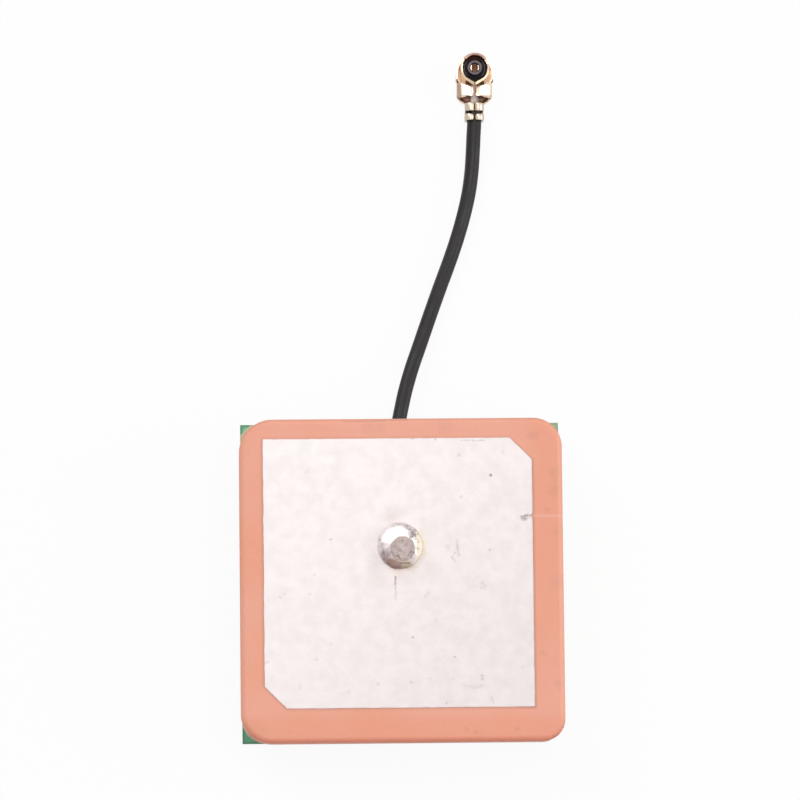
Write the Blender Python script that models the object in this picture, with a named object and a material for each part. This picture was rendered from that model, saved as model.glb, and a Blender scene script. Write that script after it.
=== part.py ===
"""Active ceramic patch antenna for satellite positioning, with a coaxial pigtail and its push-on plug.

The antenna lies on its shield can with the silver patch up (+Z). The pigtail leaves the can towards +Y.
The origin is under the middle of the ceramic, on the surface that the can rests on. Lengths are in metres.
"""

import math

import bmesh
import bpy
from mathutils import Matrix, Vector

MM = 0.001

# Clearances
FACE_GAP = 0.02 * MM  # between two faces that lie on each other
FIT = 0.03 * MM  # round what sits in a bore, a barrel or a socket

# Ceramic block and its silver films
CERAMIC_SIDE = 25.0 * MM
CERAMIC_HEIGHT = 4.0 * MM
CERAMIC_CORNER = 2.2 * MM
CERAMIC_EDGE = 0.45 * MM
FEED_X = 0.02 * MM
FEED_Y = 2.45 * MM
FEED_HOLE_CLEARANCE = 0.15 * MM
FILM_THICKNESS = 0.04 * MM
PATCH_MARGIN = 2.1 * MM  # of bare ceramic round the patch, before it is shifted
PATCH_SHIFT_X = -0.26 * MM
PATCH_SHIFT_Y = 0.53 * MM
PATCH_TRIM = 1.7 * MM  # leg of the two corners that are cut off to make the antenna circularly polarised
GROUND_MARGIN = 0.5 * MM
GROUND_ISOLATION = 0.8 * MM

# Feed pin and its solder
PIN_RADIUS = 0.45 * MM
PIN_HEAD_RADIUS = 0.9 * MM
PIN_HEAD_HEIGHT = 0.6 * MM
PIN_HEAD_EDGE = 0.1 * MM
PIN_TAIL = 0.5 * MM
PIN_POINT = 0.15 * MM  # of chamfer round the tail's tip
DOME_RADIUS = 1.8 * MM
DOME_HEIGHT = 0.54 * MM
DOME_SHIFT_X = -0.14 * MM
DOME_SHIFT_Y = 0.17 * MM
TAIL_SOLDER_RADIUS = 0.95 * MM
TAIL_SOLDER_HEIGHT = 0.4 * MM

# Adhesive pad and circuit board
PAD_THICKNESS = 0.28 * MM
PAD_INSET = 0.12 * MM
PAD_CORNER = 1.75 * MM
PAD_HOLE_CLEARANCE = 0.5 * MM
BOARD_INSET = 0.07 * MM
BOARD_SHIFT_X = 0.055 * MM
BOARD_SHIFT_Y = 0.03 * MM
BOARD_THICKNESS = 0.8 * MM
BOARD_CHAMFER = 1.05 * MM
BOARD_HOLE_CLEARANCE = 0.1 * MM

# Shield can
CAN_MARGIN = 1.95 * MM  # board showing round the can
CAN_HEIGHT = 2.4 * MM
CAN_WALL = 0.2 * MM
CAN_CORNER = 1.3 * MM
CAN_BEND = 0.45 * MM
NOTCH_CLEARANCE = 0.16 * MM
FILLET_LENGTH = 2.6 * MM
FILLET_REACH = 0.55 * MM
FILLET_HEIGHT = 0.5 * MM

# Coaxial lead
JACKET_RADIUS = 0.565 * MM
BRAID_RADIUS = 0.46 * MM
DIELECTRIC_RADIUS = 0.34 * MM
WIRE_RADIUS = 0.12 * MM
LEAD_LIFT = 0.01 * MM  # of the jacket over the surface that it lies on
BOARD_LIFT = 0.03 * MM  # of the jacket under the board

# Stripped end under the can
BRAID_STRIP = 1.2 * MM
DIELECTRIC_STRIP = 0.7 * MM
WIRE_STRIP = 1.3 * MM
WIRE_PAD_LENGTH = 0.6 * MM
BRAID_SOLDER_LENGTH = 0.9 * MM
BRAID_SOLDER_REACH = 0.55 * MM
WIRE_SOLDER_LENGTH = 0.5 * MM
WIRE_SOLDER_REACH = 0.4 * MM
SOLDER_FILM = 0.08 * MM  # of solder between the centre wire and its pad

# Surface-mounted parts of the amplifier: length, width, height
CHIP_SIZE = (1.0 * MM, 0.5 * MM, 0.5 * MM)
RESISTOR_SIZE = (1.0 * MM, 0.5 * MM, 0.35 * MM)
CHIP_CAP_LENGTH = 0.25 * MM
CHIP_CAP_STEP = 0.03 * MM
AMPLIFIER_SIZE = (2.0 * MM, 1.25 * MM, 0.9 * MM)
AMPLIFIER_DRAFT = 0.06 * MM
LEG_WIDTH = 0.3 * MM
LEG_THICKNESS = 0.12 * MM
LEG_REACH = 0.4 * MM
LEG_SPACING = 1.3 * MM
FILTER_SIZE = (3.0 * MM, 3.0 * MM, 1.1 * MM)
FILTER_BASE_HEIGHT = 0.6 * MM
FILTER_LID_INSET = 0.2 * MM

# Places under the can, in shares of its inner half width from its middle
FIRST_AMPLIFIER_AT = (-0.46, 0.06)
BAND_FILTER_AT = (-0.36, -0.48)
SECOND_AMPLIFIER_AT = (0.28, -0.42)
INPUT_CAPACITOR_AT = (-0.22, 0.24)
COUPLING_CAPACITOR_AT = (-0.02, -0.46)
OUTPUT_CAPACITOR_AT = (0.20, 0.36)
BYPASS_CAPACITOR_AT = (-0.68, 0.36)
SUPPLY_CAPACITOR_AT = (0.58, 0.18)
MATCHING_INDUCTOR_AT = (-0.36, 0.46)
BIAS_INDUCTOR_AT = (0.40, 0.02)
BIAS_RESISTOR_AT = (-0.72, -0.12)
GAIN_RESISTOR_AT = (0.62, -0.30)
SUPPLY_RESISTOR_AT = (0.58, 0.46)

# Plug: one folded sheet round an insulator and a contact. Its own Y axis runs to its nose.
PLUG_X = 6.40 * MM
PLUG_REACH = 30.36 * MM  # from the can's back wall to the middle of the socket
PLUG_YAW = math.radians(-1.0)
SHEET = 0.15 * MM
SOCKET_RADIUS = 1.02 * MM
SOCKET_HEIGHT = 1.9 * MM
LIP_REACH = 0.28 * MM  # how far the seam of the lips lies behind the round of the socket
SEAM = 0.08 * MM
SNAP_BEAD = 0.04 * MM
SNAP_HEIGHT = 0.3 * MM
NOTCH_START = math.radians(49)  # from the nose round to each side
NOTCH_END = math.radians(76)
NOTCH_DEPTH = 0.8 * MM
DOORWAY_HALF_WIDTH = 0.42 * MM
DOORWAY_HEIGHT = 1.2 * MM
ARM_STANDOFF = 0.32 * MM  # from the inner face of the socket wall out to that of an arm
ARM_HEIGHT = 1.45 * MM
ARM_START = math.radians(42)  # from the nose round to where each arm leaves the socket wall
ARM_KNEE = 0.12 * MM  # place along the plug that the arm's first stretch heads for
ARM_WAIST = 0.45 * MM  # from the middle of the socket back to the widest place
ARM_END = 0.3 * MM  # from the end of the arms back to the box
BOX_WALL = 0.18 * MM  # of box wall in front of the flaps
BOX_HALF_WIDTH = 1.23 * MM
BOX_HEIGHT = 1.45 * MM
BOX_BEND = 0.3 * MM
FLAP_STANDOFF = 0.08 * MM  # from the seam of the lips back to the flaps
BOX_LENGTH = 0.84 * MM
FLAP_SEAM = 0.14 * MM
FLAP_RAKE = 0.24 * MM  # how far the front edge of a flap falls back towards the seam
NECK_LENGTH = 0.6 * MM
NECK_HALF_WIDTH = 1.18 * MM
NECK_WALL = 0.45 * MM
BRAID_CRIMP_HALF_WIDTH = 0.6 * MM
BRAID_CRIMP_CORE = 0.42 * MM  # half height of the braid where it is pressed
BRAID_IN_NECK = 0.12 * MM
BRAID_CRIMP_LENGTH = 0.6 * MM
CRIMP_GAP = 0.25 * MM
JACKET_CRIMP_SPREAD = 0.025 * MM  # of space on each side of the jacket in its crimp
JACKET_CRIMP_LENGTH = 0.57 * MM
CRIMP_SEAM = 0.05 * MM
CRIMP_CURL = 0.1 * MM  # how far the edges of the wings curl down into the seam
JACKET_IN_PLUG = 0.1 * MM  # of jacket past the front of its crimp
JACKET_RUN = 0.3 * MM  # of straight jacket behind its crimp
FLOOR_HEIGHT = 1.0 * MM
BOSS_RADIUS = 0.58 * MM
BOSS_HEIGHT = 1.5 * MM
CONTACT_RADIUS = 0.35 * MM
CONTACT_WALL = 0.1 * MM
CONTACT_HEIGHT = 1.42 * MM
CONTACT_FOOT = 0.05 * MM
CONTACT_SLOT = 0.2 * MM
CONTACT_SLOT_DEPTH = 0.5 * MM
CONTACT_LEG_WIDTH = 0.3 * MM
CONTACT_LEG_THICKNESS = 0.12 * MM
CONTACT_LEG_STOP = 0.2 * MM  # from the end of the leg to the seam of the lips
WIRE_ON_LEG = 0.6 * MM

# Facets
CORNER_STEPS = 8
EDGE_STEPS = 3
ROUND_STEPS = 24
DOME_STEPS = 6
FILLET_STEPS = 4
TAB_STEPS = 4  # from the nose of the socket to its notch, across the notch, and on to the lip
NOTCH_STEPS = 2
SIDE_STEPS = 3
SMOOTH_ANGLE = math.radians(35)
MERGE = 1e-8

# Levels, from the surface that the can rests on
BOARD_BOTTOM = CAN_HEIGHT + FACE_GAP
BOARD_TOP = BOARD_BOTTOM + BOARD_THICKNESS
PAD_BOTTOM = BOARD_TOP + FACE_GAP
GROUND_BOTTOM = PAD_BOTTOM + PAD_THICKNESS + FACE_GAP
CERAMIC_BOTTOM = GROUND_BOTTOM + FILM_THICKNESS + FACE_GAP
CERAMIC_TOP = CERAMIC_BOTTOM + CERAMIC_HEIGHT
PATCH_BOTTOM = CERAMIC_TOP + FACE_GAP
PATCH_TOP = PATCH_BOTTOM + FILM_THICKNESS
HEAD_BOTTOM = PATCH_TOP + FACE_GAP

# Sizes that follow from the ones above
CERAMIC_HALF = CERAMIC_SIDE / 2
BOARD_HALF = CERAMIC_HALF - BOARD_INSET
CAN_HALF = BOARD_HALF - CAN_MARGIN
CAN_INNER_HALF = CAN_HALF - CAN_WALL
CAN_BACK = BOARD_SHIFT_Y + CAN_HALF
FEED_HOLE_RADIUS = PIN_RADIUS + FEED_HOLE_CLEARANCE
TABLE_AXIS = JACKET_RADIUS + LEAD_LIFT
EXIT_AXIS = BOARD_BOTTOM - BOARD_LIFT - JACKET_RADIUS
PLUG_AXIS = SHEET + FIT + JACKET_RADIUS  # from the back of the plug
PLUG_AXIS_LEVEL = LEAD_LIFT + PLUG_AXIS

# Places in the plug, from the middle of its socket back towards the lead
SOCKET_REACH = SOCKET_RADIUS + LIP_REACH
ARM_HALF_WIDTH = SOCKET_RADIUS + ARM_STANDOFF
JACKET_CRIMP_HALF_WIDTH = JACKET_RADIUS + FIT + JACKET_CRIMP_SPREAD
CONTACT_LEG_LENGTH = SOCKET_REACH - CONTACT_LEG_STOP
FLAP_FRONT = -SOCKET_REACH - FLAP_STANDOFF
FLAP_REAR = FLAP_FRONT - BOX_LENGTH
BRAID_CRIMP_FRONT = FLAP_REAR - NECK_LENGTH
BRAID_CRIMP_REAR = BRAID_CRIMP_FRONT - BRAID_CRIMP_LENGTH
JACKET_CRIMP_FRONT = BRAID_CRIMP_REAR - CRIMP_GAP
JACKET_CRIMP_REAR = JACKET_CRIMP_FRONT - JACKET_CRIMP_LENGTH
LEG_TOP = PLUG_AXIS - WIRE_RADIUS - FIT
LEG_BOTTOM = LEG_TOP - CONTACT_LEG_THICKNESS
CONTACT_BOTTOM = LEG_BOTTOM - CONTACT_FOOT
PLUG_PLACE = Matrix.Translation((PLUG_X, CAN_BACK + PLUG_REACH, LEAD_LIFT)) @ Matrix.Rotation(PLUG_YAW, 4, "Z")

# Columns of the folded sheet, counted from the middle of its back out to the free edge of a wing
BACK_EDGE = 2
WALL_FOOT = BACK_EDGE + EDGE_STEPS
WALL_TOP = WALL_FOOT + 1
WING_EDGE = WALL_TOP + EDGE_STEPS + 2

# Route of the lead: x, how far it is past the can's back wall, and how far its axis has climbed from
# the table to the can or to the plug
ROUTE_FROM_CAN = (
    (-0.31, -1.40, 1.00),
    (-0.29, -0.70, 1.00),
    (-0.26, -0.01, 0.98),
    (-0.08, 1.39, 0.90),
    (0.23, 2.99, 0.76),
    (0.62, 4.69, 0.56),
    (1.15, 6.49, 0.33),
    (1.82, 8.39, 0.13),
    (2.60, 10.59, 0.02),
    (3.42, 12.84, 0.00),
    (4.12, 14.69, 0.00),
    (4.76, 16.49, 0.00),
    (5.34, 18.39, 0.00),
)
ROUTE_TO_PLUG = (
    (5.80, 20.29, 0.06),
    (6.07, 22.09, 0.32),
    (6.20, 23.79, 0.74),
    (6.26, 24.94, 0.97),
)
ROUTE_STEP = 2.2 * MM


def clear_scene():
    for old in list(bpy.data.objects):
        bpy.data.objects.remove(old, do_unlink=True)


def material(name, colour, roughness, metallic=0.0):
    """A Principled material, made once for each name."""
    made = bpy.data.materials.get(name) or bpy.data.materials.new(name)
    made.use_nodes = True
    shader = made.node_tree.nodes["Principled BSDF"]
    shader.inputs["Base Color"].default_value = (*colour, 1.0)
    shader.inputs["Roughness"].default_value = roughness
    shader.inputs["Metallic"].default_value = metallic
    made.diffuse_color = (*colour, 1.0)
    return made


def ceramic_pink():
    return material("fired_pink_ceramic", (0.80, 0.37, 0.27), 0.55)


def silver_film():
    return material("fired_silver_film", (0.86, 0.80, 0.79), 0.45, 0.6)


def solder_metal():
    return material("bright_solder", (0.72, 0.70, 0.68), 0.25, 1.0)


def tinned_steel():
    return material("tinned_steel", (0.62, 0.62, 0.60), 0.35, 1.0)


def gold_plate():
    return material("gold_plating", (0.85, 0.62, 0.38), 0.22, 1.0)


def board_green():
    return material("green_solder_mask", (0.06, 0.30, 0.14), 0.4)


def adhesive_white():
    return material("adhesive_foam", (0.72, 0.66, 0.50), 0.8)


def jacket_black():
    return material("black_fluoropolymer", (0.03, 0.03, 0.032), 0.45)


def dielectric_white():
    return material("clear_dielectric", (0.80, 0.78, 0.74), 0.4)


def insulator_black():
    return material("black_liquid_crystal_polymer", (0.012, 0.01, 0.012), 0.4)


def package_black():
    return material("moulded_package", (0.02, 0.02, 0.02), 0.6)


def capacitor_brown():
    return material("capacitor_ceramic", (0.42, 0.27, 0.15), 0.5)


def object_from(name, bm, finish, parent=None):
    """Turns a bmesh into a linked object whose faces point out."""
    bmesh.ops.recalc_face_normals(bm, faces=bm.faces)
    mesh = bpy.data.meshes.new(name)
    bm.to_mesh(mesh)
    bm.free()
    mesh.materials.append(finish)
    mesh.shade_smooth()
    mesh.set_sharp_from_angle(angle=SMOOTH_ANGLE)
    made = bpy.data.objects.new(name, mesh)
    made.parent = parent
    bpy.context.scene.collection.objects.link(made)
    return made


def hide_as_cutter(helper):
    helper.hide_render = True
    helper.display_type = "WIRE"
    return helper


def boolean(target, helper, operation):
    """Adds a Boolean whose other shape is a hidden helper."""
    modifier = target.modifiers.new(helper.name, "BOOLEAN")
    modifier.operation = operation
    modifier.object = hide_as_cutter(helper)
    modifier.solver = "EXACT"


def arc(centre, radius, start, end, steps):
    """Points along an arc, both ends included, with angles from +X."""
    return [
        (
            centre[0] + radius * math.cos(start + (end - start) * i / steps),
            centre[1] + radius * math.sin(start + (end - start) * i / steps),
        )
        for i in range(steps + 1)
    ]


def rounded_rectangle(half_x, half_y, radius, centre=(0.0, 0.0), steps=CORNER_STEPS):
    """Outline, anticlockwise from the corner at +X +Y."""
    points = []
    for quarter, (side_x, side_y) in enumerate(((1, 1), (-1, 1), (-1, -1), (1, -1))):
        middle = (
            centre[0] + side_x * (half_x - radius),
            centre[1] + side_y * (half_y - radius),
        )
        points += arc(middle, radius, quarter * math.pi / 2, (quarter + 1) * math.pi / 2, steps)
    return points


def circle(radius, centre=(0.0, 0.0), steps=ROUND_STEPS):
    return arc(centre, radius, 0.0, 2 * math.pi * (1 - 1 / steps), steps - 1)


def add_loft(bm, rings, looped=False):
    """Joins rings of as many points each: capped at both ends, or closed on itself like a tyre."""
    rows = [[bm.verts.new(point) for point in ring] for ring in rings]
    pairs = list(zip(rows, rows[1:]))
    if looped:
        pairs.append((rows[-1], rows[0]))
    for low, high in pairs:
        for i in range(len(low)):
            bm.faces.new((low[i - 1], low[i], high[i], high[i - 1]))
    if not looped:
        bm.faces.new(reversed(rows[0]))
        bm.faces.new(rows[-1])


def at_height(outline, z):
    return [(x, y, z) for x, y in outline]


def loft(name, rings, finish, parent=None, looped=False):
    bm = bmesh.new()
    add_loft(bm, rings, looped)
    return object_from(name, bm, finish, parent)


def prism(name, outline, bottom, top, finish, parent=None):
    return loft(name, [at_height(outline, bottom), at_height(outline, top)], finish, parent)


def turned(name, profile, centre, finish, parent=None, steps=ROUND_STEPS):
    """Turns a profile of (radius, height) points. It is closed, or starts and ends on the axis."""
    bm = bmesh.new()
    ring = [bm.verts.new((centre[0] + r, centre[1], z)) for r, z in profile]
    edges = [bm.edges.new(pair) for pair in zip(ring, ring[1:])]
    if profile[0][0] > 0.0:
        edges.append(bm.edges.new((ring[-1], ring[0])))
    bmesh.ops.spin(
        bm,
        geom=ring + edges,
        cent=(centre[0], centre[1], 0.0),
        axis=(0.0, 0.0, 1.0),
        angle=2 * math.pi,
        steps=steps,
        use_merge=True,
    )
    bmesh.ops.remove_doubles(bm, verts=bm.verts, dist=MERGE)
    return object_from(name, bm, finish, parent)


def hole_cutter(name, centre, radius, bottom, top):
    return prism(name, circle(radius, centre), bottom, top, tinned_steel())


def quarter_steps(steps=EDGE_STEPS):
    return [math.pi / 2 * i / steps for i in range(steps + 1)]


FEED = (FEED_X, FEED_Y)


def feed_hole():
    """Cutter for the bore that the feed pin passes, through the ceramic and its patch."""
    return hole_cutter("feed_hole", FEED, FEED_HOLE_RADIUS, CERAMIC_BOTTOM - MM, PATCH_TOP + MM)


def ceramic_block(bore):
    """Pressed block: upright corners rounded in plan, top and bottom edges rounded in section."""
    rings = []
    for angle in quarter_steps():
        inset = CERAMIC_EDGE * (1 - math.sin(angle))
        z = CERAMIC_BOTTOM + CERAMIC_EDGE * (1 - math.cos(angle))
        half = CERAMIC_HALF - inset
        rings.append(at_height(rounded_rectangle(half, half, CERAMIC_CORNER - inset), z))
    rise = CERAMIC_BOTTOM + CERAMIC_TOP
    rings += [[(x, y, rise - z) for x, y, z in ring] for ring in reversed(rings)]
    boolean(loft("ceramic_block", rings, ceramic_pink()), bore, "DIFFERENCE")


def patch_electrode(bore):
    """Square film, off the middle of the ceramic, with two opposite corners cut off."""
    half = CERAMIC_HALF - PATCH_MARGIN
    outline = [
        (half, half - PATCH_TRIM),
        (half - PATCH_TRIM, half),
        (-half, half),
        (-half, -half + PATCH_TRIM),
        (-half + PATCH_TRIM, -half),
        (half, -half),
    ]
    outline = [(x + PATCH_SHIFT_X, y + PATCH_SHIFT_Y) for x, y in outline]
    film = prism("patch_electrode", outline, PATCH_BOTTOM, PATCH_TOP, silver_film())
    boolean(film, bore, "DIFFERENCE")


def ground_electrode():
    half = CERAMIC_HALF - GROUND_MARGIN
    outline = rounded_rectangle(half, half, CERAMIC_CORNER - GROUND_MARGIN)
    top = GROUND_BOTTOM + FILM_THICKNESS
    film = prism("ground_electrode", outline, GROUND_BOTTOM, top, silver_film())
    radius = FEED_HOLE_RADIUS + GROUND_ISOLATION
    boolean(film, hole_cutter("ground_hole", FEED, radius, GROUND_BOTTOM - MM, top + MM), "DIFFERENCE")


def adhesive_pad():
    half = CERAMIC_HALF - PAD_INSET
    top = PAD_BOTTOM + PAD_THICKNESS
    outline = rounded_rectangle(half, half, PAD_CORNER)
    pad = prism("adhesive_pad", outline, PAD_BOTTOM, top, adhesive_white())
    radius = PIN_RADIUS + PAD_HOLE_CLEARANCE
    boolean(pad, hole_cutter("pad_hole", FEED, radius, PAD_BOTTOM - MM, top + MM), "DIFFERENCE")


def circuit_board():
    """Square board with one corner cut off, drilled for the feed pin."""
    left = BOARD_SHIFT_X - BOARD_HALF
    right = BOARD_SHIFT_X + BOARD_HALF
    front = BOARD_SHIFT_Y - BOARD_HALF
    back = BOARD_SHIFT_Y + BOARD_HALF
    outline = [
        (right, back),
        (left, back),
        (left, front),
        (right - BOARD_CHAMFER, front),
        (right, front + BOARD_CHAMFER),
    ]
    board = prism("circuit_board", outline, BOARD_BOTTOM, BOARD_TOP, board_green())
    radius = PIN_RADIUS + BOARD_HOLE_CLEARANCE
    drill = hole_cutter("pin_drill", FEED, radius, BOARD_BOTTOM - MM, BOARD_TOP + MM)
    boolean(board, drill, "DIFFERENCE")


def feed_pin():
    """Nail-shaped pin: its flat head lies on the patch, its tail stands out under the board."""
    tip = BOARD_BOTTOM - PIN_TAIL
    head_top = HEAD_BOTTOM + PIN_HEAD_HEIGHT
    profile = [
        (0.0, tip),
        (PIN_RADIUS - PIN_POINT, tip),
        (PIN_RADIUS, tip + PIN_POINT),
        (PIN_RADIUS, HEAD_BOTTOM),
        (PIN_HEAD_RADIUS, HEAD_BOTTOM),
    ]
    middle = (PIN_HEAD_RADIUS - PIN_HEAD_EDGE, head_top - PIN_HEAD_EDGE)
    profile += arc(middle, PIN_HEAD_EDGE, 0.0, math.pi / 2, EDGE_STEPS)
    profile.append((0.0, head_top))
    turned("feed_pin", profile, FEED, solder_metal())


def feed_solder():
    """Dome of solder round the pin's head. Its foot spreads a little off the pin's axis."""
    inner = PIN_HEAD_RADIUS + FIT
    foot = DOME_RADIUS
    rings = []
    for angle in quarter_steps(DOME_STEPS):
        share = math.sin(angle)
        radius = inner + (foot - inner) * math.cos(angle)
        centre = (
            FEED_X + DOME_SHIFT_X * (1 - share),
            FEED_Y + DOME_SHIFT_Y * (1 - share),
        )
        rings.append(at_height(circle(radius, centre), HEAD_BOTTOM + DOME_HEIGHT * share))
    rings[-1] = at_height(circle(inner + FIT, FEED), HEAD_BOTTOM + DOME_HEIGHT)
    rings.append(at_height(circle(inner, FEED), HEAD_BOTTOM + DOME_HEIGHT))
    rings.append(at_height(circle(inner, FEED), HEAD_BOTTOM))
    loft("feed_solder", rings, solder_metal(), looped=True)


def tail_solder():
    """Hollow-sided cone of solder between the pin's tail and the board's pad."""
    inner = PIN_RADIUS + FIT
    top = BOARD_BOTTOM - FACE_GAP
    reach = TAIL_SOLDER_RADIUS - inner
    profile = [(inner, top)]
    for angle in quarter_steps(FILLET_STEPS):
        profile.append((
            TAIL_SOLDER_RADIUS - (reach - FIT) * math.sin(angle),
            top - TAIL_SOLDER_HEIGHT * (1 - math.cos(angle)) - FIT,
        ))
    profile.insert(1, (TAIL_SOLDER_RADIUS, top))
    profile.append((inner, top - TAIL_SOLDER_HEIGHT - FIT))
    turned("tail_solder", profile, FEED, solder_metal())


BOARD_CENTRE = (BOARD_SHIFT_X, BOARD_SHIFT_Y)


def shield_can():
    """Drawn tray: floor down, rim against the board, with an arched notch that the lead passes."""
    outer = []
    for angle in quarter_steps():
        inset = CAN_BEND * (1 - math.sin(angle))
        half = CAN_HALF - inset
        z = CAN_BEND * (1 - math.cos(angle))
        outer.append(at_height(rounded_rectangle(half, half, CAN_CORNER - inset, BOARD_CENTRE), z))
    outer.append(at_height(rounded_rectangle(CAN_HALF, CAN_HALF, CAN_CORNER, BOARD_CENTRE), CAN_HEIGHT))
    inner = []
    bend = CAN_BEND - CAN_WALL
    corner = CAN_CORNER - CAN_WALL
    for angle in quarter_steps():
        inset = bend * (1 - math.sin(angle))
        half = CAN_INNER_HALF - inset
        z = CAN_WALL + bend * (1 - math.cos(angle))
        inner.append(at_height(rounded_rectangle(half, half, corner - inset, BOARD_CENTRE), z))
    rim = rounded_rectangle(CAN_INNER_HALF, CAN_INNER_HALF, corner, BOARD_CENTRE)
    inner.append(at_height(rim, CAN_HEIGHT))
    can = loft("shield_can", outer + inner[::-1], tinned_steel())
    boolean(can, lead_notch(), "DIFFERENCE")


def route_crossing(y):
    """Where the lead's route passes a given y: its x and its height."""
    points = lead_route()
    for near, far in zip(points, points[1:]):
        if near.y <= y <= far.y:
            return near.lerp(far, (y - near.y) / (far.y - near.y))
    return points[0]


def lead_notch():
    """Cutter for the notch: round below the lead, straight up through the rim."""
    wall = CAN_BACK - CAN_WALL / 2
    lead = route_crossing(wall)
    radius = JACKET_RADIUS + NOTCH_CLEARANCE
    outline = arc((lead.x, lead.z), radius, math.pi, 2 * math.pi, CORNER_STEPS)
    outline += [(lead.x + radius, CAN_HEIGHT + MM), (lead.x - radius, CAN_HEIGHT + MM)]
    ends = (wall - CAN_BEND - CAN_WALL, wall + CAN_BEND + CAN_WALL)
    return loft("lead_notch", [[(x, y, z) for x, z in outline] for y in ends], tinned_steel())


def can_fillet(name, turn, shift=0.0):
    """Solder that holds one side of the can's rim to the board, hollow in section."""
    wall = CAN_HALF + FIT
    top = BOARD_BOTTOM - FACE_GAP
    section = [(wall, top)]
    for angle in quarter_steps(FILLET_STEPS):
        section.append((
            wall + FIT + (FILLET_REACH - FIT) * (1 - math.sin(angle)),
            top - FIT - (FILLET_HEIGHT - FIT) * (1 - math.cos(angle)),
        ))
    section.insert(1, (wall + FILLET_REACH, top))
    section.append((wall, top - FILLET_HEIGHT))
    ends = (shift - FILLET_LENGTH / 2, shift + FILLET_LENGTH / 2)
    rings = [[(x, y, z) for x, z in section] for y in ends]
    fillet = loft(name, rings, solder_metal())
    place = Matrix.Translation((*BOARD_CENTRE, 0.0)) @ Matrix.Rotation(turn, 4, "Z")
    fillet.matrix_world = place


def can_fillets():
    can_fillet("can_solder_right", 0.0)
    can_fillet("can_solder_left", math.pi)
    can_fillet("can_solder_front", -math.pi / 2)
    can_fillet("can_solder_back", math.pi / 2, CAN_HALF / 2)


def in_can(place):
    """A place under the board, given in shares of the can's inner half width."""
    return (
        BOARD_SHIFT_X + place[0] * CAN_INNER_HALF,
        BOARD_SHIFT_Y + place[1] * CAN_INNER_HALF,
    )


def chip(name, place, size, finish, turn=0.0):
    """Chip component: a ceramic body whose two plated ends stand a little proud."""
    length, width, height = (side / 2 for side in size)
    cap = CHIP_CAP_LENGTH
    stations = (
        (-length, 0.0),
        (-length + cap, 0.0),
        (-length + cap, CHIP_CAP_STEP),
        (length - cap, CHIP_CAP_STEP),
        (length - cap, 0.0),
        (length, 0.0),
    )
    rings = []
    for x, step in stations:
        y = width - step
        z = height - step
        rings.append([(x, y, z), (x, -y, z), (x, -y, -z), (x, y, -z)])
    body = loft(name, rings, finish)
    body.location = (*place, BOARD_BOTTOM - FACE_GAP - height)
    body.rotation_euler.z = turn


def amplifier(name, place, turn=0.0):
    """Moulded package with drafted sides and four gull-wing legs, upside down under the board."""
    length, width, height = AMPLIFIER_SIZE
    half_x = length / 2
    half_y = width / 2
    draft = AMPLIFIER_DRAFT
    levels = ((-LEG_THICKNESS / 2, draft), (-height / 2, 0.0), (-height, draft))
    rings = [
        at_height(rounded_rectangle(half_x - inset, half_y - inset, draft, steps=1), z)
        for z, inset in levels
    ]
    body = loft(name, rings, package_black())
    bm = bmesh.new()
    knee = -height / 2
    for side in (-1, 1):
        for x in (-LEG_SPACING / 2, LEG_SPACING / 2):
            section = [
                (half_y - draft, knee - LEG_THICKNESS / 2),
                (half_y + LEG_REACH / 2 + LEG_THICKNESS / 2, knee - LEG_THICKNESS / 2),
                (half_y + LEG_REACH / 2 + LEG_THICKNESS / 2, -LEG_THICKNESS),
                (half_y + LEG_REACH, -LEG_THICKNESS),
                (half_y + LEG_REACH, 0.0),
                (half_y + LEG_REACH / 2 - LEG_THICKNESS / 2, 0.0),
                (half_y + LEG_REACH / 2 - LEG_THICKNESS / 2, knee + LEG_THICKNESS / 2),
                (half_y - draft, knee + LEG_THICKNESS / 2),
            ]
            ends = (x - LEG_WIDTH / 2, x + LEG_WIDTH / 2)
            add_loft(bm, [[(end, side * y, z) for y, z in section] for end in ends])
    legs = object_from(name + "_legs", bm, tinned_steel())
    boolean(body, legs, "UNION")
    for piece in (body, legs):
        piece.location = (*place, BOARD_BOTTOM - FACE_GAP)
        piece.rotation_euler.z = turn


def band_filter(place):
    """Sealed filter: a square base with a smaller lid on it."""
    half = FILTER_SIZE[0] / 2
    lid = half - FILTER_LID_INSET
    corner = FILTER_LID_INSET
    seat = BOARD_BOTTOM - FACE_GAP
    step = seat - FILTER_BASE_HEIGHT
    base_outline = rounded_rectangle(half, FILTER_SIZE[1] / 2, corner, place, steps=2)
    lid_outline = rounded_rectangle(lid, FILTER_SIZE[1] / 2 - FILTER_LID_INSET, corner, place, steps=2)
    rings = [
        at_height(base_outline, seat),
        at_height(base_outline, step),
        at_height(lid_outline, step),
        at_height(lid_outline, seat - FILTER_SIZE[2]),
    ]
    loft("band_filter", rings, tinned_steel())


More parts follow.
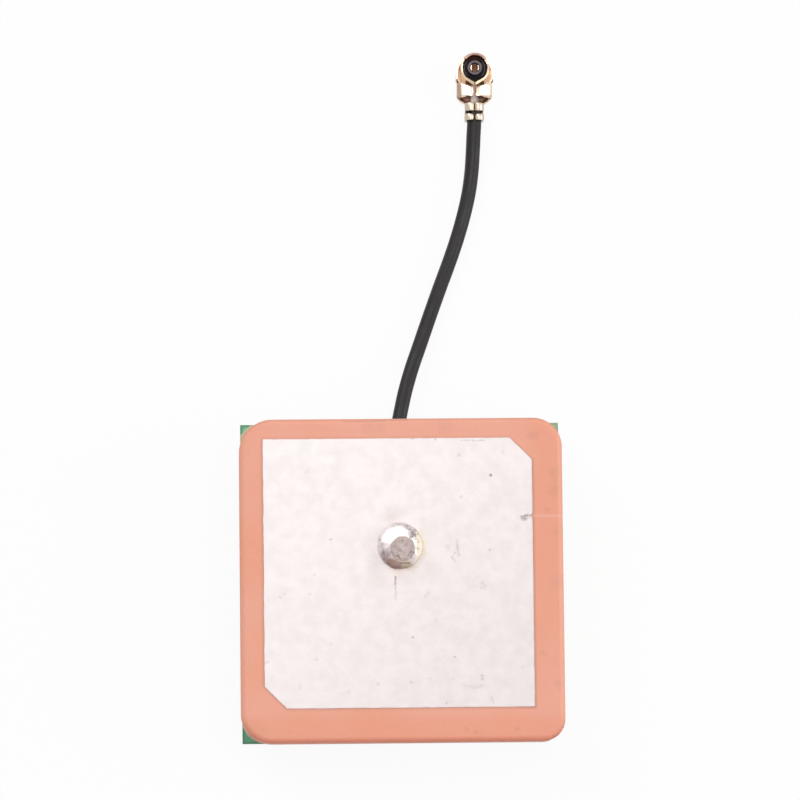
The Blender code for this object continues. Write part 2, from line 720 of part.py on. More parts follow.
def amplifier_parts():
    """The chain from the feed pin to the lead: amplifier, filter, amplifier, and the chips round them."""
    upright = math.pi / 2
    amplifier("first_amplifier", in_can(FIRST_AMPLIFIER_AT), upright)
    band_filter(in_can(BAND_FILTER_AT))
    amplifier("second_amplifier", in_can(SECOND_AMPLIFIER_AT))
    chip("input_capacitor", in_can(INPUT_CAPACITOR_AT), CHIP_SIZE, capacitor_brown())
    chip("coupling_capacitor", in_can(COUPLING_CAPACITOR_AT), CHIP_SIZE, capacitor_brown())
    chip("output_capacitor", in_can(OUTPUT_CAPACITOR_AT), CHIP_SIZE, capacitor_brown(), upright)
    chip("bypass_capacitor", in_can(BYPASS_CAPACITOR_AT), CHIP_SIZE, capacitor_brown(), upright)
    chip("supply_capacitor", in_can(SUPPLY_CAPACITOR_AT), CHIP_SIZE, capacitor_brown())
    chip("matching_inductor", in_can(MATCHING_INDUCTOR_AT), CHIP_SIZE, package_black(), upright)
    chip("bias_inductor", in_can(BIAS_INDUCTOR_AT), CHIP_SIZE, package_black(), upright)
    chip("bias_resistor", in_can(BIAS_RESISTOR_AT), RESISTOR_SIZE, package_black(), upright)
    chip("gain_resistor", in_can(GAIN_RESISTOR_AT), RESISTOR_SIZE, package_black())
    chip("supply_resistor", in_can(SUPPLY_RESISTOR_AT), RESISTOR_SIZE, package_black())


def lead_route():
    """The route's own points in metres, from the end under the can to the end in the plug."""
    points = [
        Vector((x * MM, CAN_BACK + y * MM, TABLE_AXIS + share * (EXIT_AXIS - TABLE_AXIS)))
        for x, y, share in ROUTE_FROM_CAN
    ]
    points += [
        Vector((x * MM, CAN_BACK + y * MM, TABLE_AXIS + share * (PLUG_AXIS_LEVEL - TABLE_AXIS)))
        for x, y, share in ROUTE_TO_PLUG
    ]
    for y in (JACKET_CRIMP_REAR - JACKET_RUN, JACKET_CRIMP_FRONT + JACKET_IN_PLUG):
        points.append(PLUG_PLACE @ Vector((0.0, y, PLUG_AXIS)))
    return points


def smooth_through(points, steps):
    """Catmull-Rom curve through the points."""
    ends = [points[0] * 2 - points[1], *points, points[-1] * 2 - points[-2]]
    curve = []
    for a, b, c, d in zip(ends, ends[1:], ends[2:], ends[3:]):
        bend = 2 * a - 5 * b + 4 * c - d
        twist = 3 * b - a - 3 * c + d
        for i in range(steps):
            t = i / steps
            curve.append((2 * b + (c - a) * t + bend * t**2 + twist * t**3) / 2)
    return [*curve, points[-1]]


def evenly_spaced(curve, step):
    """Points about a step apart along a fine curve, both ends included."""
    lengths = [0.0]
    for near, far in zip(curve, curve[1:]):
        lengths.append(lengths[-1] + (far - near).length)
    count = round(lengths[-1] / step)
    spaced = []
    at = 0
    for i in range(count + 1):
        wanted = min(lengths[-1] * i / count, lengths[-1])
        while at < len(curve) - 2 and lengths[at + 1] < wanted:
            at += 1
        share = (wanted - lengths[at]) / (lengths[at + 1] - lengths[at])
        spaced.append(curve[at].lerp(curve[at + 1], share))
    return spaced


def round_wire(name, points, radius, finish, parent=None):
    """A round wire or tube along its points, closed at both ends."""
    curve = bpy.data.curves.new(name, "CURVE")
    curve.dimensions = "3D"
    curve.bevel_depth = radius
    curve.bevel_resolution = 2
    curve.use_fill_caps = True
    spline = curve.splines.new("POLY")
    spline.points.add(len(points) - 1)
    for target, point in zip(spline.points, points):
        target.co = (*point, 1.0)
    curve.materials.append(finish)
    made = bpy.data.objects.new(name, curve)
    made.parent = parent
    bpy.context.scene.collection.objects.link(made)


def coax_jacket():
    points = evenly_spaced(smooth_through(lead_route(), 8), ROUTE_STEP)
    round_wire("coax_jacket", points, JACKET_RADIUS, jacket_black())


def solder_saddle(name, start, length, radius, reach):
    """Solder astride a wire that lies along Y, joining it to the board above."""
    top = BOARD_BOTTOM - FACE_GAP
    inner = radius + FIT
    hollow = arc((start.x, start.z), inner, math.pi, 0.0, CORNER_STEPS)
    right = start.x + inner
    flank = [
        (right + FIT, start.z),
        (right + reach / 4, (start.z + top) / 2),
        (right + reach, top - FIT),
        (right + reach, top),
    ]
    mirrored = [(2 * start.x - x, z) for x, z in reversed(flank)]
    section = hollow + flank + mirrored
    rings = [[(x, y, z) for x, z in section] for y in (start.y - length, start.y)]
    loft(name, rings, solder_metal())


def lead_end_under_can():
    """The stripped end: braid soldered to the ground of the board, centre wire to its signal pad."""
    end = lead_route()[0]
    back = Vector((0.0, -1.0, 0.0))
    braid = end + back * FACE_GAP
    braid_end = braid + back * BRAID_STRIP
    round_wire("braid_at_board", [braid, braid_end], BRAID_RADIUS, tinned_steel())
    core = braid_end + back * FACE_GAP
    core_end = core + back * DIELECTRIC_STRIP
    round_wire("dielectric_at_board", [core, core_end], DIELECTRIC_RADIUS, dielectric_white())
    wire = core_end + back * FACE_GAP
    rise = BOARD_BOTTOM - FACE_GAP - SOLDER_FILM - FIT - WIRE_RADIUS
    bend = (WIRE_STRIP - WIRE_PAD_LENGTH) / 4
    pad = Vector((end.x, wire.y - WIRE_STRIP + WIRE_PAD_LENGTH, rise))
    points = [
        wire,
        wire + back * bend,
        Vector((end.x, pad.y + bend, rise)),
        pad,
        pad + back * WIRE_PAD_LENGTH,
    ]
    round_wire("wire_at_board", points, WIRE_RADIUS, tinned_steel())
    braid_seat = braid + back * (BRAID_STRIP - BRAID_SOLDER_LENGTH) / 2
    solder_saddle("braid_solder", braid_seat, BRAID_SOLDER_LENGTH, BRAID_RADIUS, BRAID_SOLDER_REACH)
    solder_saddle("wire_solder", pad, WIRE_SOLDER_LENGTH, WIRE_RADIUS, WIRE_SOLDER_REACH)


def plug_frame():
    """Empty under the middle of the socket, turned as the plug lies."""
    frame = bpy.data.objects.new("plug_frame", None)
    frame.matrix_world = PLUG_PLACE
    bpy.context.scene.collection.objects.link(frame)
    return frame


def thick_sheet(name, rows, covered, frame):
    """Sheet metal on a grid of points. covered(row, column) says where it has metal. It thickens outwards."""
    bm = bmesh.new()
    grid = {}

    def corner(row, column):
        if (row, column) not in grid:
            grid[row, column] = bm.verts.new(rows[row][column])
        return grid[row, column]

    for row in range(len(rows) - 1):
        for column in range(len(rows[row]) - 1):
            if covered(row, column):
                bm.faces.new((
                    corner(row, column),
                    corner(row, column + 1),
                    corner(row + 1, column + 1),
                    corner(row + 1, column),
                ))
    mesh = bpy.data.meshes.new(name)
    bm.to_mesh(mesh)
    bm.free()
    mesh.materials.append(gold_plate())
    mesh.shade_smooth()
    mesh.set_sharp_from_angle(angle=SMOOTH_ANGLE)
    sheet = bpy.data.objects.new(name, mesh)
    sheet.parent = frame
    bpy.context.scene.collection.objects.link(sheet)
    solid = sheet.modifiers.new("sheet", "SOLIDIFY")
    solid.thickness = SHEET
    solid.offset = 1.0
    solid.use_even_offset = True
    return sheet


def trough(half_width, floor, bend, wall_top):
    """Inner face of half a section, from the middle of the back to the top of the wall."""
    section = [((half_width - bend) * i / BACK_EDGE, floor) for i in range(BACK_EDGE + 1)]
    section += arc((half_width - bend, floor + bend), bend, -math.pi / 2, 0.0, EDGE_STEPS)[1:]
    return [*section, (half_width, wall_top)]


def folded(half_width, floor, bend, roof, roof_bend, wing_end):
    """Half a section whose wing is bent over at the roof and runs on through two more points."""
    section = trough(half_width, floor, bend, roof - roof_bend)
    centre = (half_width - roof_bend, roof - roof_bend)
    section += arc(centre, roof_bend, 0.0, math.pi / 2, EDGE_STEPS)[1:]
    return section + wing_end


def box_section(half_width):
    """Box round the core: flat flaps that meet over it."""
    roof = BOX_HEIGHT - SHEET
    edge = FLAP_SEAM / 2
    middle = (half_width - BOX_BEND + edge) / 2
    return folded(half_width, SHEET, SHEET, roof, BOX_BEND, [(middle, roof), (edge, roof)])


def crimp_section(half_width, core):
    """Barrel rolled round a core of that half height, the edges of its wings curled down at the seam."""
    floor = PLUG_AXIS - core - FIT
    roof = PLUG_AXIS + core + FIT + CRIMP_CURL
    edge = SHEET + CRIMP_SEAM / 2
    curl = [(edge + CRIMP_CURL / 3, roof - CRIMP_CURL / 5), (edge, roof - CRIMP_CURL)]
    bend = half_width - edge - CRIMP_CURL
    return folded(half_width, floor, bend, roof, bend, curl)


def sheet_stations():
    """From nose to tail: place along the plug, half section, and how many columns the metal behind it has."""
    arm_top = ARM_HEIGHT
    nose = SOCKET_RADIUS + SHEET / 2
    stations = []
    for turn in (ARM_START / 4, ARM_START * 2 / 3):
        section = trough(nose * math.sin(turn), SHEET, SHEET, arm_top)
        stations.append((nose * math.cos(turn), section, BACK_EDGE))
    start = Vector((nose * math.sin(ARM_START), nose * math.cos(ARM_START)))
    knee = Vector((ARM_HALF_WIDTH, ARM_KNEE))
    waist = Vector((ARM_HALF_WIDTH, -ARM_WAIST))
    for share in (0.0, 0.25, 0.5, 0.75, 1.0):
        place = start.lerp(knee, share).lerp(knee.lerp(waist, share), share)
        section = trough(place.x, SHEET, SHEET, arm_top)
        stations.append((place.y, section, WALL_TOP))
    box = box_section(BOX_HALF_WIDTH)
    crimp = crimp_section(BRAID_CRIMP_HALF_WIDTH, BRAID_CRIMP_CORE)
    barrel = crimp_section(JACKET_CRIMP_HALF_WIDTH, JACKET_RADIUS)
    arm = trough(ARM_HALF_WIDTH, SHEET, SHEET, arm_top)
    box_wall = trough(BOX_HALF_WIDTH, SHEET, SHEET, BOX_HEIGHT - SHEET - BOX_BEND)
    neck = trough(NECK_HALF_WIDTH, SHEET, SHEET, SHEET + NECK_WALL)
    stations += [
        (FLAP_FRONT + BOX_WALL + ARM_END, arm, WALL_TOP),
        (FLAP_FRONT + BOX_WALL, box_wall, WALL_TOP),
        (FLAP_FRONT, box, WING_EDGE),
        (FLAP_REAR, box, WALL_TOP),
        (FLAP_REAR - NECK_LENGTH / 2, neck, WALL_TOP),
        (BRAID_CRIMP_FRONT, crimp, WING_EDGE),
        (BRAID_CRIMP_REAR, crimp, WALL_FOOT),
        (JACKET_CRIMP_FRONT, barrel, WING_EDGE),
        (JACKET_CRIMP_REAR, barrel, WING_EDGE),
    ]
    return stations


def folded_sheet(frame):
    """Body of the shell: back, arms, box with two flaps, neck and two crimps, folded from one strip."""
    rows = []
    reaches = []
    for y, section, reach in sheet_stations():
        half = section + [section[-1]] * (WING_EDGE + 1 - len(section))
        row = []
        for column in range(-WING_EDGE, WING_EDGE + 1):
            x, z = half[abs(column)]
            share = max(0, abs(column) - WALL_TOP) / (WING_EDGE - WALL_TOP)
            rake = FLAP_RAKE * share if y == FLAP_FRONT else 0.0
            row.append((math.copysign(x, column), y - rake, z))
        rows.append(row)
        reaches.append(reach)

    def covered(row, column):
        outer = max(abs(column - WING_EDGE), abs(column + 1 - WING_EDGE))
        return outer <= reaches[row]

    return thick_sheet("plug_shell", rows, covered, frame)


def socket_half_outline():
    """Inner face of the socket wall in plan, from the nose round one side to the seam at the back."""
    lip_turn = math.pi - math.acos(SOCKET_RADIUS / SOCKET_REACH)
    turns = [NOTCH_START * i / TAB_STEPS for i in range(TAB_STEPS)]
    turns += [NOTCH_START + (NOTCH_END - NOTCH_START) * i / NOTCH_STEPS for i in range(NOTCH_STEPS)]
    turns += [NOTCH_END + (lip_turn - NOTCH_END) * i / SIDE_STEPS for i in range(SIDE_STEPS + 1)]
    points = [(SOCKET_RADIUS * math.sin(turn), SOCKET_RADIUS * math.cos(turn)) for turn in turns]
    lip_x, lip_y = points[-1]
    slope = (lip_y + SOCKET_REACH) / lip_x
    for x in (DOORWAY_HALF_WIDTH, SEAM / 2):
        points.append((x, -SOCKET_REACH + slope * x))
    return points


def socket_wall(frame):
    """Round wall that snaps over the mating part: two notches, a bead, and lips that meet at a seam."""
    half = socket_half_outline()
    outline = [(-x, y) for x, y in reversed(half[1:])] + half
    notch_bottom = SOCKET_HEIGHT - NOTCH_DEPTH
    levels = (
        (SOCKET_HEIGHT, 0.0),
        (SOCKET_HEIGHT - SNAP_HEIGHT / 2, SNAP_BEAD),
        (SOCKET_HEIGHT - SNAP_HEIGHT, 0.0),
        (DOORWAY_HEIGHT, 0.0),
        (notch_bottom, 0.0),
        (SHEET / 2, 0.0),
    )
    rows = []
    for z, bead in levels:
        shrink = 1 - bead / SOCKET_RADIUS
        rows.append([(x * shrink, y * shrink, z) for x, y in outline])
    nose = len(half) - 1

    def covered(row, column):
        step = max(abs(column - nose), abs(column + 1 - nose))
        level = levels[row][0]
        in_notch = TAB_STEPS < step <= TAB_STEPS + NOTCH_STEPS and level > notch_bottom
        in_doorway = step == nose and level <= DOORWAY_HEIGHT
        return not in_notch and not in_doorway

    return thick_sheet("socket_wall", rows, covered, frame)


def plug_shell(frame):
    boolean(folded_sheet(frame), socket_wall(frame), "UNION")


def plug_insulator(frame):
    """Black moulding that fills the foot of the socket, with a boss, a bore and a passage for the contact."""
    scale = 1 - FIT / SOCKET_RADIUS
    half = socket_half_outline()[:-2]
    tip = [(0.0, -SOCKET_REACH)]
    outline = [(x * scale, y * scale) for x, y in half + tip + [(-x, y) for x, y in reversed(half[1:])]]
    body = prism("plug_insulator", outline, SHEET + FIT, FLOOR_HEIGHT, insulator_black(), frame)
    boss = prism("boss", circle(BOSS_RADIUS), FLOOR_HEIGHT - SHEET, BOSS_HEIGHT, insulator_black(), frame)
    boolean(body, boss, "UNION")
    bore_radius = CONTACT_RADIUS + FIT
    bore = hole_cutter("contact_bore", (0.0, 0.0), bore_radius, CONTACT_BOTTOM - FIT, BOSS_HEIGHT + MM)
    bore.parent = frame
    boolean(body, bore, "DIFFERENCE")
    half_width = CONTACT_LEG_WIDTH / 2 + FIT
    passage = [
        (half_width, 0.0),
        (-half_width, 0.0),
        (-half_width, -SOCKET_REACH - MM),
        (half_width, -SOCKET_REACH - MM),
    ]
    cutter = prism(
        "contact_passage", passage, LEG_BOTTOM - FIT, PLUG_AXIS + WIRE_RADIUS + FIT, tinned_steel(), frame
    )
    boolean(body, cutter, "DIFFERENCE")


def plug_contact(frame):
    """Gold contact: an upright tube slit into two prongs, with a leg that runs back under the centre wire."""
    inner = CONTACT_RADIUS - CONTACT_WALL
    profile = [
        (inner, CONTACT_BOTTOM),
        (CONTACT_RADIUS, CONTACT_BOTTOM),
        (CONTACT_RADIUS, CONTACT_HEIGHT),
        (inner, CONTACT_HEIGHT),
    ]
    tube = turned("plug_contact", profile, (0.0, 0.0), gold_plate(), frame)
    half_width = CONTACT_LEG_WIDTH / 2
    front = -CONTACT_RADIUS + CONTACT_WALL / 2
    leg_outline = [
        (half_width, front),
        (-half_width, front),
        (-half_width, -CONTACT_LEG_LENGTH),
        (half_width, -CONTACT_LEG_LENGTH),
    ]
    boolean(tube, prism("contact_leg", leg_outline, LEG_BOTTOM, LEG_TOP, gold_plate(), frame), "UNION")
    slot_outline = rounded_rectangle(CONTACT_SLOT / 2, CONTACT_RADIUS + MM, CONTACT_SLOT / 4, steps=1)
    slot_bottom = CONTACT_HEIGHT - CONTACT_SLOT_DEPTH
    slot = prism("contact_slot", slot_outline, slot_bottom, CONTACT_HEIGHT + MM, gold_plate(), frame)
    boolean(tube, slot, "DIFFERENCE")


def oval(half_width, half_height, y):
    """Oval section of the lead round its axis in the plug."""
    return [
        (half_width * x, y, PLUG_AXIS + half_height * z)
        for x, z in circle(1.0, steps=CORNER_STEPS * 2)
    ]


def lead_end_in_plug(frame):
    """The stripped end: braid pressed oval in its crimp, dielectric through the box, wire on the contact."""
    start = JACKET_CRIMP_FRONT + JACKET_IN_PLUG + FACE_GAP
    braid_front = BRAID_CRIMP_FRONT + BRAID_IN_NECK
    wide = BRAID_CRIMP_HALF_WIDTH - FIT
    rings = [
        oval(BRAID_RADIUS, BRAID_RADIUS, start),
        oval(wide, BRAID_CRIMP_CORE, BRAID_CRIMP_REAR),
        oval(wide, BRAID_CRIMP_CORE, BRAID_CRIMP_FRONT),
        oval(BRAID_RADIUS, BRAID_CRIMP_CORE, braid_front),
    ]
    loft("braid_at_plug", rings, tinned_steel(), frame)
    core = Vector((0.0, braid_front + FACE_GAP, PLUG_AXIS))
    core_end = Vector((0.0, -SOCKET_REACH - FACE_GAP, PLUG_AXIS))
    round_wire("dielectric_at_plug", [core, core_end], DIELECTRIC_RADIUS, dielectric_white(), frame)
    wire = core_end + Vector((0.0, FACE_GAP, 0.0))
    wire_end = Vector((0.0, WIRE_ON_LEG - CONTACT_LEG_LENGTH, PLUG_AXIS))
    round_wire("wire_at_plug", [wire, wire_end], WIRE_RADIUS, tinned_steel(), frame)


def antenna():
    bore = feed_hole()
    ceramic_block(bore)
    patch_electrode(bore)
    ground_electrode()
    feed_pin()
    feed_solder()
    adhesive_pad()
    circuit_board()
    tail_solder()
    shield_can()
    can_fillets()
    amplifier_parts()


def pigtail():
    coax_jacket()
    lead_end_under_can()
    frame = plug_frame()
    plug_shell(frame)
    plug_insulator(frame)
    plug_contact(frame)
    lead_end_in_plug(frame)


def main():
    clear_scene()
    antenna()
    pigtail()


main()
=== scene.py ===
"""Looks of an active ceramic patch antenna with its coaxial lead and push-on plug.

The pieces are dressed one after another, in the order in which the antenna is put together. Lengths are in
metres, +Z is up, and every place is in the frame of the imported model.
"""

import math

import bmesh
import bpy
from mathutils import Matrix, Vector, noise


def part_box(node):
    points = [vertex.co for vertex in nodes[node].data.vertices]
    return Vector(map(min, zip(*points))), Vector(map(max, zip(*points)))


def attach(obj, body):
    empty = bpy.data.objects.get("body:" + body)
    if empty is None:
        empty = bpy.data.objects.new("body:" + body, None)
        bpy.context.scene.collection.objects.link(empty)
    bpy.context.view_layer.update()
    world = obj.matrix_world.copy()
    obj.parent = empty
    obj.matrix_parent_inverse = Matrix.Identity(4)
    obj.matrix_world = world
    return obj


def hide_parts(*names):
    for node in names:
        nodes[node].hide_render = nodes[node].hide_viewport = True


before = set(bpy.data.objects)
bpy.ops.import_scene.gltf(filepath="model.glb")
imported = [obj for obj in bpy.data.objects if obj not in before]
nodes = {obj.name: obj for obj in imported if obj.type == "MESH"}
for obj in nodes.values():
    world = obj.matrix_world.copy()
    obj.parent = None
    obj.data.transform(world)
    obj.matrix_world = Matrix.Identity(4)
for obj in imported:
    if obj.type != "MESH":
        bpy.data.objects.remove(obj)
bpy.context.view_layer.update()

# Camera. The antenna was photographed from nearly straight above with a long lens, a little from its front
# and from its left. The place, the turn and the lens are those that bring the edges of the ceramic and of
# the patch to where the photograph has them.
MM = 0.001
LOOK_AT = Vector((-0.0146, 13.9115, 7.6)) * MM
CAMERA_DISTANCE = 400 * MM
CAMERA_LEAN_LEFT = math.radians(2.0)
CAMERA_LEAN_FRONT = math.radians(5.5)
CAMERA_ROLL = -0.01066
FOCAL_LENGTH = 5170.8  # pixels
IMAGE_SIDE = 800  # pixels
SENSOR_WIDTH = 36.0


def shown(name, data):
    """An object of that mesh, curve, lamp or camera, in the scene."""
    made = bpy.data.objects.new(name, data)
    bpy.context.scene.collection.objects.link(made)
    return made


towards_camera = Vector((-math.tan(CAMERA_LEAN_LEFT), -math.tan(CAMERA_LEAN_FRONT), 1.0)).normalized()
level_right = Vector((0.0, 1.0, 0.0)).cross(towards_camera).normalized()
camera_right = Matrix.Rotation(CAMERA_ROLL, 3, towards_camera) @ level_right
camera_up = towards_camera.cross(camera_right)
camera_turn = Matrix((camera_right, camera_up, towards_camera)).transposed().to_4x4()
camera_data = bpy.data.cameras.new("camera")
camera_data.sensor_width = SENSOR_WIDTH
camera_data.lens = FOCAL_LENGTH / IMAGE_SIDE * SENSOR_WIDTH
camera_data.clip_start = 10 * MM
camera = shown("camera", camera_data)
camera.matrix_world = Matrix.Translation(LOOK_AT + towards_camera * CAMERA_DISTANCE) @ camera_turn
bpy.context.scene.camera = camera
bpy.context.scene.view_settings.view_transform = "Standard"

# Table and studio light. A white sheet lies under the antenna. Broad lamps stand behind it to the left,
# over it and to its right, and a dark card stands in front, as the photographer's own dark clothes would.
TABLE_SIDE = 3.0
SHEET_GLOW = 0.92  # share of the sheet's white that no shadow darkens
ROOM_LIGHT = 0.42
ROOM_GREY = (0.8, 0.8, 0.8, 1)
WHITE = (1, 1, 1, 1)
CLOTH_DARK = (0.035, 0.028, 0.026, 1)
LAMPS = {  # place and side in metres, and power in watts
    "lamp_left_behind": ((-0.42, 0.52, 0.62), 0.40, 1.9),
    "lamp_overhead": ((0.10, 0.16, 0.95), 0.55, 2.4),
    "lamp_right": ((0.80, 0.06, 0.34), 0.45, 1.8),
}
LAMP_AIM = Vector((0.0, 6.0, 6.0)) * MM
CARD_PLACE = Vector((-0.20, -0.62, 0.16))
CARD_SIZE = (1.1, 0.34)


def fill(tree, node, inputs):
    """Fills a node's inputs with values or with other nodes' outputs."""
    for key, value in inputs.items():
        if isinstance(value, bpy.types.NodeSocket):
            tree.links.new(value, node.inputs[key])
        else:
            node.inputs[key].default_value = value


def add_node(tree, kind, inputs=None, **settings):
    """Adds a node with its settings and its inputs."""
    made = tree.nodes.new(kind)
    for name, value in settings.items():
        setattr(made, name, value)
    fill(tree, made, inputs or {})
    return made


def maths(tree, operation, first, second=0.0):
    return add_node(tree, "ShaderNodeMath", {0: first, 1: second}, operation=operation).outputs[0]


def most_of(tree, shares):
    """The greatest of several shares at each place."""
    top = shares[0]
    for share in shares[1:]:
        top = maths(tree, "MAXIMUM", top, share)
    return top


def seen_directly(tree):
    """1 for the rays that come from the camera, from a gloss or through something clear, and 0 for light."""
    rays = add_node(tree, "ShaderNodeLightPath").outputs
    return most_of(tree, [rays[name] for name in ("Is Camera Ray", "Is Glossy Ray", "Is Transmission Ray")])


def mixed(tree, share, first, second):
    """Goes from the first shader to the second as the share goes from 0 to 1."""
    return add_node(tree, "ShaderNodeMixShader", {0: share, 1: first.outputs[0], 2: second.outputs[0]})


def upright_sheet(name, corners, finish):
    mesh = bpy.data.meshes.new(name)
    mesh.from_pydata(corners, [], [range(len(corners))])
    mesh.materials.append(finish)
    made = shown(name, mesh)
    return made


paper = bpy.data.materials.new("white_paper")
paper.use_nodes = True
paper_tree = paper.node_tree
paper_tree.nodes.clear()
paper_light = add_node(paper_tree, "ShaderNodeBsdfDiffuse", {"Color": ROOM_GREY})
paper_shadow = add_node(paper_tree, "ShaderNodeBsdfDiffuse", {"Color": WHITE})
paper_glow = add_node(paper_tree, "ShaderNodeEmission", {"Color": WHITE, "Strength": 1.0})
paper_white = mixed(paper_tree, SHEET_GLOW, paper_shadow, paper_glow)
paper_face = mixed(paper_tree, seen_directly(paper_tree), paper_light, paper_white)
add_node(paper_tree, "ShaderNodeOutputMaterial", {"Surface": paper_face.outputs[0]})
half_table = TABLE_SIDE / 2
around = ((-1, -1), (1, -1), (1, 1), (-1, 1))
upright_sheet("table", [(x * half_table, y * half_table, 0) for x, y in around], paper)

dark_cloth = bpy.data.materials.new("dark_cloth")
dark_cloth.use_nodes = True
cloth_shader = dark_cloth.node_tree.nodes["Principled BSDF"]
fill(dark_cloth.node_tree, cloth_shader, {"Base Color": CLOTH_DARK, "Roughness": 0.9})
card_x, card_z = (side / 2 for side in CARD_SIZE)
card_corners = [CARD_PLACE + Vector((x * card_x, 0, z * card_z)) for x, z in around]
card = upright_sheet("dark_card", card_corners, dark_cloth)
card.visible_camera = False

world = bpy.data.worlds.new("room")
world.use_nodes = True
room_tree = world.node_tree
room_tree.nodes.clear()
room_light = add_node(room_tree, "ShaderNodeBackground", {"Color": WHITE, "Strength": ROOM_LIGHT})
room_white = add_node(room_tree, "ShaderNodeBackground", {"Color": WHITE, "Strength": 1.0})
room = mixed(room_tree, seen_directly(room_tree), room_light, room_white)
add_node(room_tree, "ShaderNodeOutputWorld", {"Surface": room.outputs[0]})
bpy.context.scene.world = world

for lamp_name, (lamp_place, lamp_side, lamp_power) in LAMPS.items():
    lamp = bpy.data.lights.new(lamp_name, "AREA")
    lamp.size = lamp_side
    lamp.energy = lamp_power
    lamp_object = shown(lamp_name, lamp)
    lamp_object.location = lamp_place
    lamp_object.rotation_mode = "QUATERNION"
    lamp_object.rotation_quaternion = (LAMP_AIM - Vector(lamp_place)).to_track_quat("-Z", "Y")
    lamp_object.visible_camera = False

# Ceramic block. Magnesium titanate powder is pressed square, with rounded corners and edges, and fired to a
# matt pink. It is the antenna's body. A pale scratch runs from the patch's nick to the block's right side.
CERAMIC_SIDE = 25.0 * MM
CERAMIC_CORNERS = (2.25 * MM, 2.6 * MM, 2.4 * MM, 1.7 * MM)  # anticlockwise from +X +Y
CERAMIC_EDGE = 0.45 * MM
LIT_RIGHT_STRIP = (0.45, 0.30)  # mm from its right side, over which a painted highlight makes the block paler
SHADED_FRONT_STRIP = (2.4, 1.4)  # mm from its front side, over which painted shade deepens the top
SHADED_RIM_LEVELS = (5.5, 7.6)  # mm above the table, between which faces turned to the front are painted a redder shade
CERAMIC_PINK = (0.945, 0.412, 0.282)
CERAMIC_PALE = (0.955, 0.445, 0.325)
CERAMIC_LIT_RIGHT = (1.0, 0.47, 0.335)
CERAMIC_SHADED_DEEP = (0.93, 0.34, 0.21)
CERAMIC_SHADED_RED = (1.0, 0.37, 0.25)
CERAMIC_DUSKY = (0.66, 0.26, 0.17)
SCRATCH_PINK = (1.0, 0.62, 0.50)
SMUDGE_AND_SHADOW_GREY = (0.42, 0.24, 0.20)
CERAMIC_SMUDGES = (  # x, y and radius in mm, and how dark
    (-2.50, 11.85, 0.45, 0.12),
    (-1.58, 11.75, 0.40, 0.10),
    (3.45, 11.80, 0.50, 0.10),
    (10.29, 11.11, 0.32, 0.20),
    (11.76, 8.23, 0.35, 0.14),
    (11.80, 7.60, 0.30, 0.12),
    (11.82, 6.83, 0.45, 0.16),
    (11.34, 5.29, 0.22, 0.14),
    (12.01, 3.66, 0.35, 0.14),
    (11.88, -0.29, 0.50, 0.12),
    (11.97, -8.16, 0.28, 0.14),
    (10.73, -5.76, 0.22, 0.14),
    (4.87, -11.59, 0.16, 0.16),
    (5.64, -11.79, 0.18, 0.22),
    (8.72, -11.62, 0.18, 0.22),
    (-11.50, -11.60, 0.80, 0.10),
    (11.88, -11.98, 0.10, 0.80),
    (11.66, -12.10, 0.10, 0.70),
    (12.22, -11.46, 0.10, 0.55),
)
CERAMIC_SHADE_LINES = (  # painted shade along the back edge, by the lead: start and end in mm, width in mm, and how dark
    ((-4.40, 12.26), (-1.10, 12.30), 0.13, 0.30),
    ((-0.75, 12.36), (0.55, 12.36), 0.16, 0.25),
)
FEED = (0.02 * MM, 2.45 * MM)
FEED_HOLE_RADIUS = 0.6 * MM
PATCH_HALF = 10.4 * MM
PATCH_MIDDLE = (-0.26 * MM, 0.53 * MM)
PATCH_TRIM = 1.7 * MM
RIGHT_PART = (8.0, 10.0)  # mm across, over which the film's edge turns darker
NICK_TIP = (9.86, 4.86)  # mm
NICK_MOUTH = (10.17, 4.90)
SCRATCH_END = (12.42, 4.80)
CORNER_STEPS = 24
EDGE_STEPS = 10
FLAT_RIM = 0.4 * MM  # of flat face next to a rounded edge, which keeps the shading of the rest flat
SMOOTH_ANGLE = math.radians(35)
MERGE = 1e-8


def new_finish(name, roughness, metallic=0.0, specular=0.5):
    """A new material, its tree and its shader."""
    made = bpy.data.materials.new(name)
    made.use_nodes = True
    tree = made.node_tree
    shader = tree.nodes["Principled BSDF"]
    fill(tree, shader, {"Roughness": roughness, "Metallic": metallic, "Specular IOR Level": specular})
    return made, tree, shader


def vector_maths(tree, operation, first, second=(0, 0, 0)):
    return add_node(tree, "ShaderNodeVectorMath", {0: first, 1: second}, operation=operation).outputs[0]


def scaled(tree, vector, scale):
    return add_node(tree, "ShaderNodeVectorMath", {0: vector, "Scale": scale}, operation="SCALE").outputs[0]


def flattened(tree, vector):
    """The vector with its Z made 0."""
    return vector_maths(tree, "MULTIPLY", vector, (1, 1, 0))


def stretched(tree, place, scales):
    """The place scaled by a number for each axis, so that a pattern drawn there is drawn out or squashed."""
    return add_node(tree, "ShaderNodeMapping", {"Vector": place, "Scale": scales}).outputs[0]


def place_in_mm(tree):
    """The place on the object, in millimetres."""
    return scaled(tree, add_node(tree, "ShaderNodeTexCoord").outputs["Object"], 1 / MM)


def axes_of(tree, vector):
    """The X, Y and Z of a vector."""
    return add_node(tree, "ShaderNodeSeparateXYZ", {0: vector}).outputs


def facing_of(tree):
    """The X, Y and Z of the way that the surface faces."""
    return axes_of(tree, add_node(tree, "ShaderNodeNewGeometry").outputs["Normal"])


def speckle(tree, place, per_mm, detail=3.0, roughness=0.5, distortion=0.0):
    """Noise about 0.5, with so many grains to the millimetre."""
    inputs = {"Vector": place, "Scale": per_mm, "Detail": detail, "Roughness": roughness}
    return add_node(tree, "ShaderNodeTexNoise", {**inputs, "Distortion": distortion}).outputs["Fac"]


